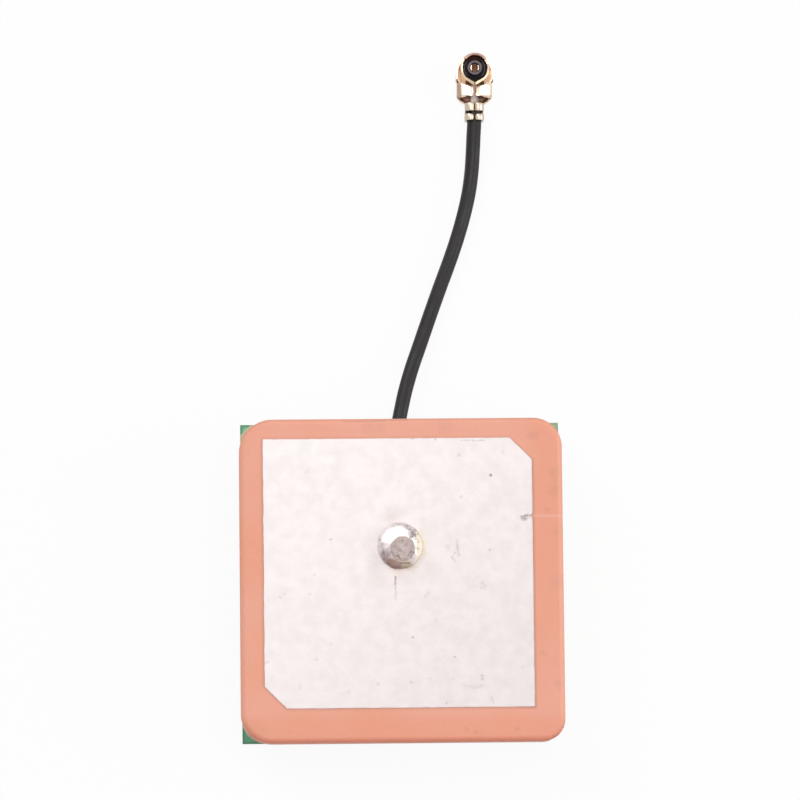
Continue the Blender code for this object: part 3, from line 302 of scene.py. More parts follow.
def ramp(tree, value, low, high, out_low=0.0, out_high=1.0):
    """Turns a value from low to high into one from out_low to out_high, eased at both ends."""
    return add_node(
        tree,
        "ShaderNodeMapRange",
        {"Value": value, "From Min": low, "From Max": high, "To Min": out_low, "To Max": out_high},
        interpolation_type="SMOOTHSTEP",
    ).outputs["Result"]


def product(tree, *shares):
    """Several shares multiplied by each other at each place."""
    result = shares[0]
    for share in shares[1:]:
        result = maths(tree, "MULTIPLY", result, share)
    return result


def tint(tree, share, first, second):
    """Goes from the first colour to the second as the share goes from 0 to 1."""
    blend = add_node(tree, "ShaderNodeMix", {"Factor": share}, data_type="RGBA")
    for socket, colour in ((blend.inputs[6], first), (blend.inputs[7], second)):
        if isinstance(colour, bpy.types.NodeSocket):
            tree.links.new(colour, socket)
        else:
            socket.default_value = (*colour, 1)
    return blend.outputs[2]


def mottled(tree, mottle, pale, dark):
    """The pale colour, and the dark one where the mottle is high."""
    return tint(tree, ramp(tree, mottle, 0.4, 0.7), pale, dark)


def relief(tree, shader, height, depth):
    """Bump of so many metres, which lies on any bump that the shader has already."""
    bump = add_node(tree, "ShaderNodeBump", {"Height": height, "Distance": depth, "Strength": 1.0})
    if shader.inputs["Normal"].is_linked:
        tree.links.new(shader.inputs["Normal"].links[0].from_socket, bump.inputs["Normal"])
    tree.links.new(bump.outputs[0], shader.inputs["Normal"])


def spot(tree, place, centre, radius, softness=0.5):
    """1 inside an upright cylinder round a centre in mm, 0 outside it."""
    inputs = {0: flattened(tree, place), 1: (*centre, 0)}
    away = add_node(tree, "ShaderNodeVectorMath", inputs, operation="DISTANCE").outputs["Value"]
    return ramp(tree, away, radius * (1 + softness), radius * (1 - softness))


def stroke(tree, place, start, end, width, softness=0.6):
    """1 on a straight mark between two points in mm, 0 away from it."""
    start = Vector((*start, 0))
    along = Vector((*end, 0)) - start
    middle = start + along / 2
    turned = add_node(
        tree,
        "ShaderNodeMapping",
        {"Vector": place, "Location": middle, "Rotation": (0, 0, math.atan2(along.y, along.x))},
        vector_type="TEXTURE",
    ).outputs[0]
    mirrored = vector_maths(tree, "ABSOLUTE", turned)
    past = vector_maths(tree, "SUBTRACT", mirrored, (along.length / 2, 0, 0))
    outside = flattened(tree, vector_maths(tree, "MAXIMUM", past))
    away = add_node(tree, "ShaderNodeVectorMath", {0: outside}, operation="LENGTH").outputs["Value"]
    return ramp(tree, away, width / 2 * (1 + softness), width / 2 * (1 - softness))


def strayed(tree, place, per_mm, reach):
    """The place moved about by noise, at most by the reach in mm, so that what is drawn there is uneven."""
    inputs = {"Vector": place, "Scale": per_mm, "Detail": 3.0}
    noise_colour = add_node(tree, "ShaderNodeTexNoise", inputs).outputs["Color"]
    centred = vector_maths(tree, "SUBTRACT", noise_colour, (0.5, 0.5, 0.5))
    return vector_maths(tree, "ADD", place, scaled(tree, centred, 2 * reach))


def smudged(tree, place, smudges, softness=0.5):
    """The darkest of several round smudges, each given by x, y, radius and how dark it is."""
    return most_of(tree, [
        product(tree, spot(tree, place, (x, y), radius, softness), darkness)
        for x, y, radius, darkness in smudges
    ])


def dark_lines(tree, place, lines):
    """The darkest of several straight dark lines, each given by its start, end, width and how dark it is."""
    return most_of(tree, [
        product(tree, stroke(tree, place, start, end, width), darkness)
        for start, end, width, darkness in lines
    ])


def past_patch_edge(tree, place):
    """How far a place lies outside the patch's outline, in mm, and less than 0 inside it."""
    across, along = axes_of(tree, place)[:2]
    across = maths(tree, "SUBTRACT", across, PATCH_MIDDLE[0] / MM)
    along = maths(tree, "SUBTRACT", along, PATCH_MIDDLE[1] / MM)
    slanting = maths(tree, "ABSOLUTE", maths(tree, "ADD", across, along))
    trimmed = maths(tree, "SUBTRACT", slanting, (PATCH_HALF - PATCH_TRIM) / MM)
    reached = most_of(tree, [maths(tree, "ABSOLUTE", across), maths(tree, "ABSOLUTE", along), trimmed])
    return maths(tree, "SUBTRACT", reached, PATCH_HALF / MM)


def arc(centre, radius, start, end, steps):
    """Points along an arc, both ends included, with angles from +X."""
    return [
        (
            centre[0] + radius * math.cos(start + (end - start) * i / steps),
            centre[1] + radius * math.sin(start + (end - start) * i / steps),
        )
        for i in range(steps + 1)
    ]


def rounded_square(half, radii, centre=(0.0, 0.0)):
    """Outline with a radius for each corner, anticlockwise from the corner at +X +Y."""
    points = []
    corners = zip(radii, ((1, 1), (-1, 1), (-1, -1), (1, -1)))
    for quarter, (radius, (side_x, side_y)) in enumerate(corners):
        middle = (centre[0] + side_x * (half - radius), centre[1] + side_y * (half - radius))
        points += arc(middle, radius, quarter * math.pi / 2, (quarter + 1) * math.pi / 2, CORNER_STEPS)
    return points


def ring_of(radius, centre=(0.0, 0.0), steps=48):
    return arc(centre, radius, 0.0, 2 * math.pi * (1 - 1 / steps), steps - 1)


def at_height(outline, z):
    return [(x, y, z) for x, y in outline]


def add_loft(bm, rings, looped=False):
    """Joins rings of as many points each: capped at both ends, or closed on itself like a tyre."""
    rows = [[bm.verts.new(point) for point in ring] for ring in rings]
    pairs = list(zip(rows, rows[1:]))
    if looped:
        pairs.append((rows[-1], rows[0]))
    for low, high in pairs:
        for i in range(len(low)):
            bm.faces.new((low[i - 1], low[i], high[i], high[i - 1]))
    if not looped:
        bm.faces.new(reversed(rows[0]))
        bm.faces.new(rows[-1])


def shape_from(name, bm, finish):
    """Turns a bmesh into an object whose faces point out."""
    bmesh.ops.recalc_face_normals(bm, faces=bm.faces)
    mesh = bpy.data.meshes.new(name)
    bm.to_mesh(mesh)
    bm.free()
    mesh.materials.append(finish)
    return shown(name, mesh)


def loft(name, rings, finish, looped=False):
    bm = bmesh.new()
    add_loft(bm, rings, looped)
    return shape_from(name, bm, finish)


def settled(shape, place=None):
    """Applies a shape's modifiers, puts it in its place and shades it as a smooth piece with sharp edges."""
    graph = bpy.context.evaluated_depsgraph_get()
    mesh = bpy.data.meshes.new_from_object(
        shape.evaluated_get(graph), preserve_all_data_layers=True, depsgraph=graph
    )
    name = shape.name
    bpy.data.objects.remove(shape, do_unlink=True)
    if place:
        mesh.transform(place)
    mesh.shade_smooth()
    mesh.set_sharp_from_angle(angle=SMOOTH_ANGLE)
    mesh.name = name
    return shown(name, mesh)


def join_shapes(target, other, operation):
    """Cuts the other shape out of the target, or unites them, and removes the other."""
    modifier = target.modifiers.new(operation, "BOOLEAN")
    modifier.operation = operation
    modifier.object = other
    modifier.solver = "EXACT"
    joined = settled(target)
    bpy.data.objects.remove(other, do_unlink=True)
    return joined


def block_rings(box_low, box_high, half, corners, edge):
    """Rings of a square block whose top and bottom edges are rounded."""
    flat_corners = [corner - edge for corner in corners]
    rings = [at_height(rounded_square(half - edge - FLAT_RIM, flat_corners), box_low)]
    for i in range(EDGE_STEPS + 1):
        angle = math.pi / 2 * i / EDGE_STEPS
        inset = edge * (1 - math.sin(angle))
        height = edge * (1 - math.cos(angle))
        inset_corners = [corner - inset for corner in corners]
        rings.append(at_height(rounded_square(half - inset, inset_corners), box_low + height))
    return rings + [[(x, y, box_low + box_high - z) for x, y, z in ring] for ring in reversed(rings)]


fired_pink, tree, shader = new_finish("fired_pink_ceramic", 0.55, specular=0.25)
place = place_in_mm(tree)
clouds = speckle(tree, place, 0.12, 2.0)
grains = speckle(tree, place, 9.0, 4.0, 0.65)
pink = tint(tree, ramp(tree, clouds, 0.35, 0.65), CERAMIC_PINK, CERAMIC_PALE)
pink = tint(tree, ramp(tree, grains, 0.58, 0.78, 0.0, 0.25), pink, CERAMIC_DUSKY)
across, along, height = axes_of(tree, place)
half_side = CERAMIC_SIDE / 2 / MM
# Painted highlight: the strip along the block's right side is painted paler, as an edge lit from the right.
from_right = maths(tree, "SUBTRACT", half_side, across)
pink = tint(tree, ramp(tree, from_right, *LIT_RIGHT_STRIP, 0.0, 0.9), pink, CERAMIC_LIT_RIGHT)
# Painted shade: the top is painted deeper towards the front side.
from_front = maths(tree, "ADD", half_side, along)
pink = tint(tree, ramp(tree, from_front, *SHADED_FRONT_STRIP, 0.0, 0.35), pink, CERAMIC_SHADED_DEEP)
facing = facing_of(tree)
# Painted shade: the rounded edge that faces back and up is painted dusky.
shaded_back_edge = product(tree, ramp(tree, facing["Y"], 0.25, 0.6), ramp(tree, facing["Z"], 0.9, 0.7, 0.0, 0.28))
pink = tint(tree, shaded_back_edge, pink, CERAMIC_DUSKY)
# Painted shade: faces turned to the front, from partway up the side to the top, are painted a deeper, redder
# pink.
shaded_front_edge = product(tree, ramp(tree, facing["Y"], -0.08, -0.5), ramp(tree, height, *SHADED_RIM_LEVELS))
pink = tint(tree, shaded_front_edge, pink, CERAMIC_SHADED_RED)
outside = past_patch_edge(tree, place)
# Painted shadow: a thin dark line on the ceramic just outside the patch's edge, darker on its right part.
rim_line = product(tree, ramp(tree, outside, -0.2, -0.1), ramp(tree, outside, 0.26, 0.05))
painted_film_shadow = product(tree, rim_line, ramp(tree, across, *RIGHT_PART, 0.22, 0.42))
smudges = smudged(tree, strayed(tree, place, 1.6, 0.35), CERAMIC_SMUDGES, 0.9)
dirt_and_shadow = most_of(tree, [smudges, dark_lines(tree, place, CERAMIC_SHADE_LINES), painted_film_shadow])
pink = tint(tree, dirt_and_shadow, pink, SMUDGE_AND_SHADOW_GREY)
scratch = stroke(tree, strayed(tree, place, 0.8, 0.05), NICK_MOUTH, SCRATCH_END, 0.20)
pink = tint(tree, product(tree, scratch, 0.35), pink, SCRATCH_PINK)
fill(tree, shader, {"Base Color": pink, "Roughness": ramp(tree, grains, 0.3, 0.7, 0.48, 0.66)})
relief(tree, shader, grains, 0.012 * MM)
relief(tree, shader, speckle(tree, place, 1.4, 2.0), 0.02 * MM)

low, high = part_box("ceramic_block")
ceramic = loft(
    "fired_ceramic_block",
    block_rings(low.z, high.z, CERAMIC_SIDE / 2, CERAMIC_CORNERS, CERAMIC_EDGE),
    fired_pink,
)


def drill(name, radius, low, high, finish):
    """An upright cutter for a round hole on the feed's axis, which goes well past both faces."""
    return loft(name, [at_height(ring_of(radius, FEED), z) for z in (low.z - MM, high.z + MM)], finish)


bore = drill("feed_bore", FEED_HOLE_RADIUS, low, high, fired_pink)
ceramic = join_shapes(ceramic, bore, "DIFFERENCE")
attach(ceramic, "root")
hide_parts("ceramic_block")

# Patch electrode. Silver paste is screened on the block and fired to a matt, nearly white film. Two opposite
# corners are left off. Handling has left a nick in its right edge, scratches, specks and a flux stain.
FILM_ROUNDING = 0.015 * MM
FILM_RIM = 0.12 * MM
PRINT_STEP = 0.35 * MM
PRINT_WANDER = 0.03 * MM
PRINT_SEED = 7  # of the wander, so that each run draws the same edge
NICK_WIDTH = 0.16 * MM
SHADE_HEADING = (0.73, -0.68, 0.0)  # towards the right front corner, to which the painted shade deepens
SHADE_REACH = 14.0  # mm from the middle, each way
SILVER_WHITE = (0.95, 0.882, 0.873)
SILVER_WORN_AND_SHADED = (0.81, 0.728, 0.718)
DIRT_BROWN = (0.16, 0.11, 0.11)
EDGE_GREY = (0.60, 0.47, 0.46)
FLUX_TAN = (0.66, 0.55, 0.47)
FLUX_MAUVE = (0.74, 0.64, 0.67)
FLUX_ROSE = (0.86, 0.64, 0.56)
FLUX_CREAM = (0.80, 0.71, 0.54)
FLUX_STAINS = (  # x, y and radius in mm, how strong, and its colour
    (-0.73, 4.95, 0.60, 0.30, FLUX_TAN),
    (-1.70, -0.15, 0.62, 0.16, FLUX_TAN),
    (-2.05, 1.55, 0.75, 0.30, FLUX_MAUVE),
    (-0.35, 0.80, 0.50, 0.45, FLUX_ROSE),
    (0.80, 1.05, 0.50, 0.45, FLUX_CREAM),
    (1.62, 2.05, 0.38, 0.45, FLUX_CREAM),
    (1.72, 2.90, 0.36, 0.50, FLUX_CREAM),
    (1.55, 3.70, 0.34, 0.40, FLUX_CREAM),
)
PATCH_SPECKS = (  # x, y and radius in mm, and how dark
    (6.93, 8.02, 0.11, 0.74),
    (-5.49, 3.13, 0.10, 0.42),
    (0.79, -4.43, 0.09, 0.42),
    (3.97, -5.98, 0.09, 0.32),
    (6.08, -7.45, 0.12, 0.20),
    (6.10, -7.70, 0.12, 0.20),
    (6.79, 2.23, 0.11, 0.26),
    (4.45, 9.60, 0.15, 0.20),
    (4.62, 6.34, 0.13, 0.15),
    (3.50, 2.47, 0.22, 0.12),
    (-6.74, 0.46, 0.11, 0.20),
    (-9.10, -1.06, 0.14, 0.15),
    (-9.40, -1.30, 0.12, 0.14),
    (-7.10, -1.08, 0.11, 0.13),
    (-5.46, -4.91, 0.13, 0.12),
    (-6.64, -6.09, 0.14, 0.10),
    (-7.92, -8.10, 0.15, 0.15),
    (-7.94, -8.32, 0.15, 0.13),
    (-1.94, -8.01, 0.14, 0.11),
    (0.62, -7.90, 0.12, 0.16),
    (2.06, -7.70, 0.16, 0.11),
    (3.86, -7.65, 0.13, 0.13),
    (3.34, -9.54, 0.11, 0.20),
    (-4.20, -8.62, 0.14, 0.09),
    (-10.47, -6.27, 0.14, 0.16),
    (9.23, -6.86, 0.16, 0.11),
    (2.60, -3.14, 0.12, 0.12),
    (-0.20, 7.58, 0.11, 0.18),
    (6.18, -0.32, 0.16, 0.15),
    (6.36, -0.62, 0.17, 0.17),
    (6.10, -0.70, 0.12, 0.10),
    (-7.10, 8.60, 0.14, 0.09),
    (2.70, 10.84, 0.11, 0.26),
    (0.95, 10.84, 0.12, 0.18),
    (7.90, 9.85, 0.14, 0.10),
)
PATCH_SCRATCHES = (  # start and end in mm, width in mm, and how dark
    ((-0.52, 0.20), (-0.53, -0.30), 0.15, 0.45),
    ((-0.53, -0.25), (-0.50, -1.05), 0.13, 0.22),
    ((-0.50, -1.10), (-0.50, -1.45), 0.20, 0.16),
    ((4.26, 3.00), (4.36, 1.80), 0.20, 0.25),
    ((4.10, 2.05), (3.86, 1.72), 0.16, 0.17),
    ((3.86, 1.72), (4.06, 1.38), 0.19, 0.20),
    ((-7.35, 8.35), (-7.05, 8.75), 0.18, 0.11),
    ((4.67, 10.72), (6.55, 10.71), 0.10, 0.26),
    ((4.45, -8.15), (5.40, -8.36), 0.26, 0.09),
    ((5.30, -8.36), (6.25, -8.25), 0.30, 0.11),
    ((6.78, -9.10), (6.95, -9.60), 0.16, 0.14),
    ((1.75, -1.35), (2.05, -1.02), 0.20, 0.11),
    ((9.40, 4.66), (9.62, 4.66), 0.34, 0.55),
    ((9.62, 4.76), (10.12, 4.80), 0.28, 0.42),
    ((9.56, 4.82), (9.76, 4.90), 0.17, 0.66),
    ((9.76, 4.90), (10.10, 4.95), 0.15, 0.52),
    ((9.28, 4.78), (9.50, 4.76), 0.16, 0.50),
)
STAIN_MIDDLE = (-0.12, 2.15)
STAIN_RADIUS = 2.35
STAIN_SQUASH = 0.72  # of its length, which leaves its width

fired_silver, tree, shader = new_finish("fired_silver_film", 0.55, metallic=0.15, specular=0.3)
place = place_in_mm(tree)
clouds = speckle(tree, place, 0.16, 3.0, 0.55)
mottle = speckle(tree, place, 1.1, 4.0, 0.6)
grains = speckle(tree, place, 16.0, 3.0, 0.6)
# Painted shade: the film is painted darker towards its right front corner.
towards_shade = add_node(tree, "ShaderNodeVectorMath", {0: place, 1: SHADE_HEADING}, operation="DOT_PRODUCT")
painted_shade = ramp(tree, towards_shade.outputs["Value"], -SHADE_REACH, SHADE_REACH, 0.0, 0.75)
silver = tint(tree, painted_shade, SILVER_WHITE, SILVER_WORN_AND_SHADED)
silver = tint(tree, ramp(tree, clouds, 0.40, 0.85, 0.0, 0.06), silver, SILVER_WORN_AND_SHADED)
silver = tint(tree, ramp(tree, mottle, 0.60, 0.85, 0.0, 0.05), silver, SILVER_WORN_AND_SHADED)
silver = tint(tree, ramp(tree, grains, 0.62, 0.80, 0.0, 0.15), silver, SILVER_WORN_AND_SHADED)
squat = stretched(tree, strayed(tree, place, 0.5, 0.8), (1.0, STAIN_SQUASH, 1.0))
stain = spot(tree, squat, (STAIN_MIDDLE[0], STAIN_MIDDLE[1] * STAIN_SQUASH), STAIN_RADIUS, 0.25)
silver = tint(tree, product(tree, stain, 0.20), silver, SILVER_WORN_AND_SHADED)
crept = strayed(tree, place, 1.1, 0.25)
for x, y, radius, strength, colour in FLUX_STAINS:
    flux_and_reflection = spot(tree, crept, (x, y), radius, 0.7)
    silver = tint(tree, product(tree, flux_and_reflection, strength), silver, colour)
# Darker towards the film's edge, more so on its right part.
near_film_edge = ramp(tree, past_patch_edge(tree, place), -0.12, -0.01)
edge_share = ramp(tree, axes_of(tree, place)["X"], *RIGHT_PART, 0.12, 0.40)
silver = tint(tree, product(tree, near_film_edge, edge_share), silver, EDGE_GREY)
uneven = strayed(tree, place, 2.6, 0.10)
scratches = dark_lines(tree, uneven, PATCH_SCRATCHES)
marks = maths(tree, "MAXIMUM", smudged(tree, uneven, PATCH_SPECKS), scratches)
broken = ramp(tree, speckle(tree, place, 3.2, 3.0, 0.6), 0.40, 0.56, 0.45, 1.15)
silver = tint(tree, product(tree, marks, broken), silver, DIRT_BROWN)
fill(tree, shader, {"Base Color": silver, "Roughness": ramp(tree, mottle, 0.3, 0.8, 0.42, 0.60)})
relief(tree, shader, grains, 0.006 * MM)
relief(tree, shader, product(tree, scratches, -1.0), 0.02 * MM)


def wandering(corners, step, wander):
    """A closed outline through the corners, in short steps that stray a little as a print's edge does."""
    points = []
    for start, end in zip(corners, corners[1:] + corners[:1]):
        start, end = Vector(start), Vector(end)
        count = max(1, round((end - start).length / step))
        for i in range(count):
            point = start.lerp(end, i / count)
            stray = noise.noise_vector((point.x / MM * 1.7, point.y / MM * 1.7, 0.0)) * wander
            points.append((point.x + stray.x, point.y + stray.y))
    return points


def drawn_in(outline, centre, half, inset):
    """An outline made smaller about its centre, so that its sides move in by the inset."""
    share = 1 - inset / half
    return [(centre[0] + (x - centre[0]) * share, centre[1] + (y - centre[1]) * share) for x, y in outline]


nick_low = (PATCH_MIDDLE[0] + PATCH_HALF, NICK_MOUTH[1] * MM - NICK_WIDTH / 2)
nick_high = (PATCH_MIDDLE[0] + PATCH_HALF, NICK_MOUTH[1] * MM + NICK_WIDTH / 2)
left, right = PATCH_MIDDLE[0] - PATCH_HALF, PATCH_MIDDLE[0] + PATCH_HALF
front, back = PATCH_MIDDLE[1] - PATCH_HALF, PATCH_MIDDLE[1] + PATCH_HALF
patch_corners = [
    nick_high,
    (right, back - PATCH_TRIM),
    (right - PATCH_TRIM, back),
    (left, back),
    (left, front + PATCH_TRIM),
    (left + PATCH_TRIM, front),
    (right, front),
    nick_low,
    (NICK_TIP[0] * MM, NICK_TIP[1] * MM),
]
noise.seed_set(PRINT_SEED)
patch_outline = wandering(patch_corners, PRINT_STEP, PRINT_WANDER)
low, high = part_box("patch_electrode")
patch_rings = [
    at_height(patch_outline, low.z),
    at_height(patch_outline, high.z - FILM_ROUNDING),
    at_height(drawn_in(patch_outline, PATCH_MIDDLE, PATCH_HALF, FILM_ROUNDING), high.z),
    at_height(drawn_in(patch_outline, PATCH_MIDDLE, PATCH_HALF, FILM_RIM), high.z),
]
patch = loft("fired_silver_patch", patch_rings, fired_silver)
bore = drill("film_bore", FEED_HOLE_RADIUS, low, high, fired_silver)
patch = join_shapes(patch, bore, "DIFFERENCE")
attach(patch, "root")
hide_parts("patch_electrode")

# Ground electrode. The same silver covers the whole underside of the block, but for a gap round the feed
# pin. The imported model's own film is its true shape, and takes the duller finish of a film nobody polishes.
dull_silver, tree, shader = new_finish("fired_silver_ground", 0.6, metallic=0.4, specular=0.3)
place = place_in_mm(tree)
mottle = speckle(tree, place, 1.3, 4.0, 0.6)
grey = tint(tree, ramp(tree, mottle, 0.4, 0.75), (0.78, 0.74, 0.72), (0.60, 0.56, 0.54))
fill(tree, shader, {"Base Color": grey})
relief(tree, shader, speckle(tree, place, 14.0), 0.006 * MM)


def dress(node_name, finish):
    """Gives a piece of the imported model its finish."""
    nodes[node_name].data.materials.clear()
    nodes[node_name].data.materials.append(finish)


dress("ground_electrode", dull_silver)

# Circuit board. Glass-filled resin, 0.8 mm thick, routed square with one corner cut off, drilled for the
# feed pin and coated green. Its bare edge shows the layers of glass cloth. Underneath, a tinned track runs
# round it for the can's rim, with a row of plated holes on each side.
BOARD_HALF = 12.43 * MM
BOARD_MIDDLE = (0.055 * MM, 0.03 * MM)
BOARD_CHAMFER = 1.05 * MM
BOARD_ROUNDING = 0.04 * MM
PIN_DRILL_RADIUS = 0.55 * MM
TRACK_INNER = 10.2  # mm from the board's middle
TRACK_OUTER = 11.3
MASK_GREEN = (0.18, 0.56, 0.31)
MASK_DEEP = (0.085, 0.345, 0.17)
MASK_BARE = (0.055, 0.235, 0.135)
COPPER_MARGIN = 0.24  # mm from the board's edge, over which the mask lies on bare resin and looks darker
GLASS_PALE = (0.50, 0.50, 0.30)
RESIN_DARK = (0.25, 0.27, 0.12)
TIN_GREY = (0.68, 0.67, 0.65)
CREPT_CREAM = (0.66, 0.55, 0.34)
CREPT_MIDDLE = (-10.0, 10.1)  # mm, of the adhesive that has crept out round the back left corner
CREPT_RADIUS = 2.80
WARM_RIGHT = (10.9, 11.5)  # mm across and along, over which the mask turns warm at the back right corner
WARM_BACK = (10.4, 11.2)
GLASS_LAYERS = 9.0  # to the millimetre of thickness

board_finish, tree, shader = new_finish("green_board", 0.35, specular=0.5)
place = place_in_mm(tree)
axes = axes_of(tree, place)
facing = facing_of(tree)
cloth = add_node(
    tree,
    "ShaderNodeTexWave",
    {"Vector": place, "Scale": 0.9, "Distortion": 1.5, "Detail": 2.0, "Detail Scale": 3.0},
    bands_direction="DIAGONAL",
).outputs["Fac"]
green = tint(tree, ramp(tree, speckle(tree, place, 0.8, 4.0), 0.35, 0.7), MASK_GREEN, MASK_DEEP)
green = tint(tree, ramp(tree, cloth, 0.5, 1.0, 0.0, 0.2), green, MASK_DEEP)
layers = maths(tree, "SINE", product(tree, axes["Z"], GLASS_LAYERS * 2 * math.pi))
layers = maths(tree, "ADD", layers, ramp(tree, speckle(tree, place, 6.0, 4.0), 0.3, 0.7, -1.2, 1.2))
edge = tint(tree, ramp(tree, layers, -1.0, 1.0), RESIN_DARK, GLASS_PALE)
sideways = ramp(tree, maths(tree, "ABSOLUTE", facing["Z"]), 0.75, 0.45)
from_middle = maths(
    tree,
    "MAXIMUM",
    maths(tree, "ABSOLUTE", maths(tree, "SUBTRACT", axes["X"], BOARD_MIDDLE[0] / MM)),
    maths(tree, "ABSOLUTE", maths(tree, "SUBTRACT", axes["Y"], BOARD_MIDDLE[1] / MM)),
)
track = product(
    tree,
    ramp(tree, from_middle, TRACK_INNER - 0.05, TRACK_INNER),
    ramp(tree, from_middle, TRACK_OUTER, TRACK_OUTER - 0.05),
    ramp(tree, facing["Z"], -0.5, -0.9),
)
bare_edge = ramp(tree, from_middle, BOARD_HALF / MM - COPPER_MARGIN, BOARD_HALF / MM - COPPER_MARGIN / 2)
green = tint(tree, product(tree, bare_edge, 0.75), green, MASK_BARE)
crept = spot(tree, strayed(tree, place, 2.4, 0.05), CREPT_MIDDLE, CREPT_RADIUS, 0.015)
crept = product(tree, crept, ramp(tree, facing["Z"], 0.5, 0.9, 0.0, 0.85))
green = tint(tree, crept, green, CREPT_CREAM)
warm = product(tree, ramp(tree, axes["X"], *WARM_RIGHT, 0.0, 0.30), ramp(tree, axes["Y"], *WARM_BACK))
green = tint(tree, warm, green, CREPT_CREAM)
colour = tint(tree, track, tint(tree, sideways, green, edge), TIN_GREY)
roughness = maths(tree, "ADD", 0.32, product(tree, sideways, 0.45))
fill(tree, shader, {"Base Color": colour, "Metallic": track, "Roughness": roughness})
relief(tree, shader, cloth, 0.01 * MM)
relief(tree, shader, speckle(tree, place, 5.0, 4.0), 0.008 * MM)
relief(tree, shader, track, 0.03 * MM)

low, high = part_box("circuit_board")
board_outline = [
    (low.x + 2 * BOARD_HALF, low.y + 2 * BOARD_HALF),
    (low.x, low.y + 2 * BOARD_HALF),
    (low.x, low.y),
    (low.x + 2 * BOARD_HALF - BOARD_CHAMFER, low.y),
    (low.x + 2 * BOARD_HALF, low.y + BOARD_CHAMFER),
]
board = loft("green_circuit_board", [at_height(board_outline, z) for z in (low.z, high.z)], board_finish)
rounding = board.modifiers.new("rounding", "BEVEL")
rounding.width = BOARD_ROUNDING
rounding.segments = 3
pin_hole = drill("pin_hole", PIN_DRILL_RADIUS, low, high, board_finish)
board = join_shapes(settled(board), pin_hole, "DIFFERENCE")
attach(board, "root")
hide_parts("circuit_board")

VIA_ROW = 11.85 * MM  # from the board's middle to the row of plated holes
VIA_RADIUS = 0.16 * MM
VIA_RING = 0.07 * MM
VIA_STEP = 1.65 * MM
VIA_PROUD = 0.012 * MM

tinned_copper, tree, shader = new_finish("tinned_copper", 0.3, metallic=1.0)
place = place_in_mm(tree)
tin = mottled(tree, speckle(tree, place, 4.0), (0.74, 0.72, 0.69), (0.58, 0.56, 0.53))
fill(tree, shader, {"Base Color": tin})
relief(tree, shader, speckle(tree, place, 7.0), 0.01 * MM)


def shape_tree(name, sizes, counts=()):
    """A Geometry Nodes tree that takes and gives a shape, with a named input for each size and count."""
    tree = bpy.data.node_groups.new(name, "GeometryNodeTree")
    kinds = [("Shape", "Geometry"), *((label, "Float") for label in sizes)]
    kinds += [*((label, "Int") for label in counts), ("Finish", "Material")]
    for label, kind in kinds:
        tree.interface.new_socket(label, in_out="INPUT", socket_type="NodeSocket" + kind)
    tree.interface.new_socket("Shape", in_out="OUTPUT", socket_type="NodeSocketGeometry")
    return tree, add_node(tree, "NodeGroupInput").outputs


def shaped(tree, kind, inputs=None, **settings):
    """Adds a geometry node, and gives its first output."""
    return add_node(tree, "GeometryNode" + kind, inputs, **settings).outputs[0]


def finish_tree(tree, given, shape):
    """Ends a tree: makes its copies real, gives them their finish and puts them out."""
    real = shaped(tree, "RealizeInstances", {0: shape})
    finished = shaped(tree, "SetMaterial", {"Geometry": real, "Material": given["Finish"]})
    add_node(tree, "NodeGroupOutput", {0: finished})


def grown(helper, tree, values):
    """Runs a Geometry Nodes tree on a helper and keeps the result as a plain mesh of the same name."""
    modifier = helper.modifiers.new(tree.name, "NODES")
    modifier.node_group = tree
    for socket in tree.interface.items_tree:
        if socket.in_out == "INPUT" and socket.name in values:
            modifier[socket.identifier] = values[socket.name]
    return settled(helper)


def empty_shape(name, points=()):
    """A helper: a curve through the points, or one without any, for a tree that makes its own shapes."""
    curve = bpy.data.curves.new(name, "CURVE")
    curve.dimensions = "3D"
    if points:
        spline = curve.splines.new("POLY")
        spline.points.add(len(points) - 1)
        for target, point in zip(spline.points, points):
            target.co = (*point, 1.0)
    return shown(name, curve)


via_tree, given = shape_tree("plated_holes", ("Row", "Step", "Hole Radius", "Ring Width", "Proud"))
side = maths(via_tree, "MULTIPLY", given["Row"], 2.0)
row_line = shaped(via_tree, "CurvePrimitiveQuadrilateral", {"Width": side, "Height": side})
row_points = shaped(via_tree, "CurveToPoints", {"Curve": row_line, "Length": given["Step"]}, mode="LENGTH")
ring_line = shaped(via_tree, "CurvePrimitiveCircle", {"Resolution": 20, "Radius": given["Hole Radius"]})
ring_section = shaped(via_tree, "CurvePrimitiveCircle", {"Resolution": 8, "Radius": given["Ring Width"]})
ring = shaped(via_tree, "CurveToMesh", {"Curve": ring_line, "Profile Curve": ring_section})
flatness = maths(via_tree, "DIVIDE", given["Proud"], given["Ring Width"])
flat_scale = add_node(via_tree, "ShaderNodeCombineXYZ", {0: 1.0, 1: 1.0, 2: flatness}).outputs[0]
flat_ring = shaped(via_tree, "Transform", {"Geometry": ring, "Scale": flat_scale})
rings = shaped(via_tree, "InstanceOnPoints", {"Points": row_points, "Instance": flat_ring})
finish_tree(via_tree, given, rings)
via_sizes = {
    "Row": VIA_ROW,
    "Step": VIA_STEP,
    "Hole Radius": VIA_RADIUS,
    "Ring Width": VIA_RING,
    "Proud": VIA_PROUD,
    "Finish": tinned_copper,
}
vias = grown(empty_shape("board_plated_holes"), via_tree, via_sizes)
vias.data.transform(Matrix.Translation((*BOARD_MIDDLE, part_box("circuit_board")[0].z)))
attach(vias, "root")

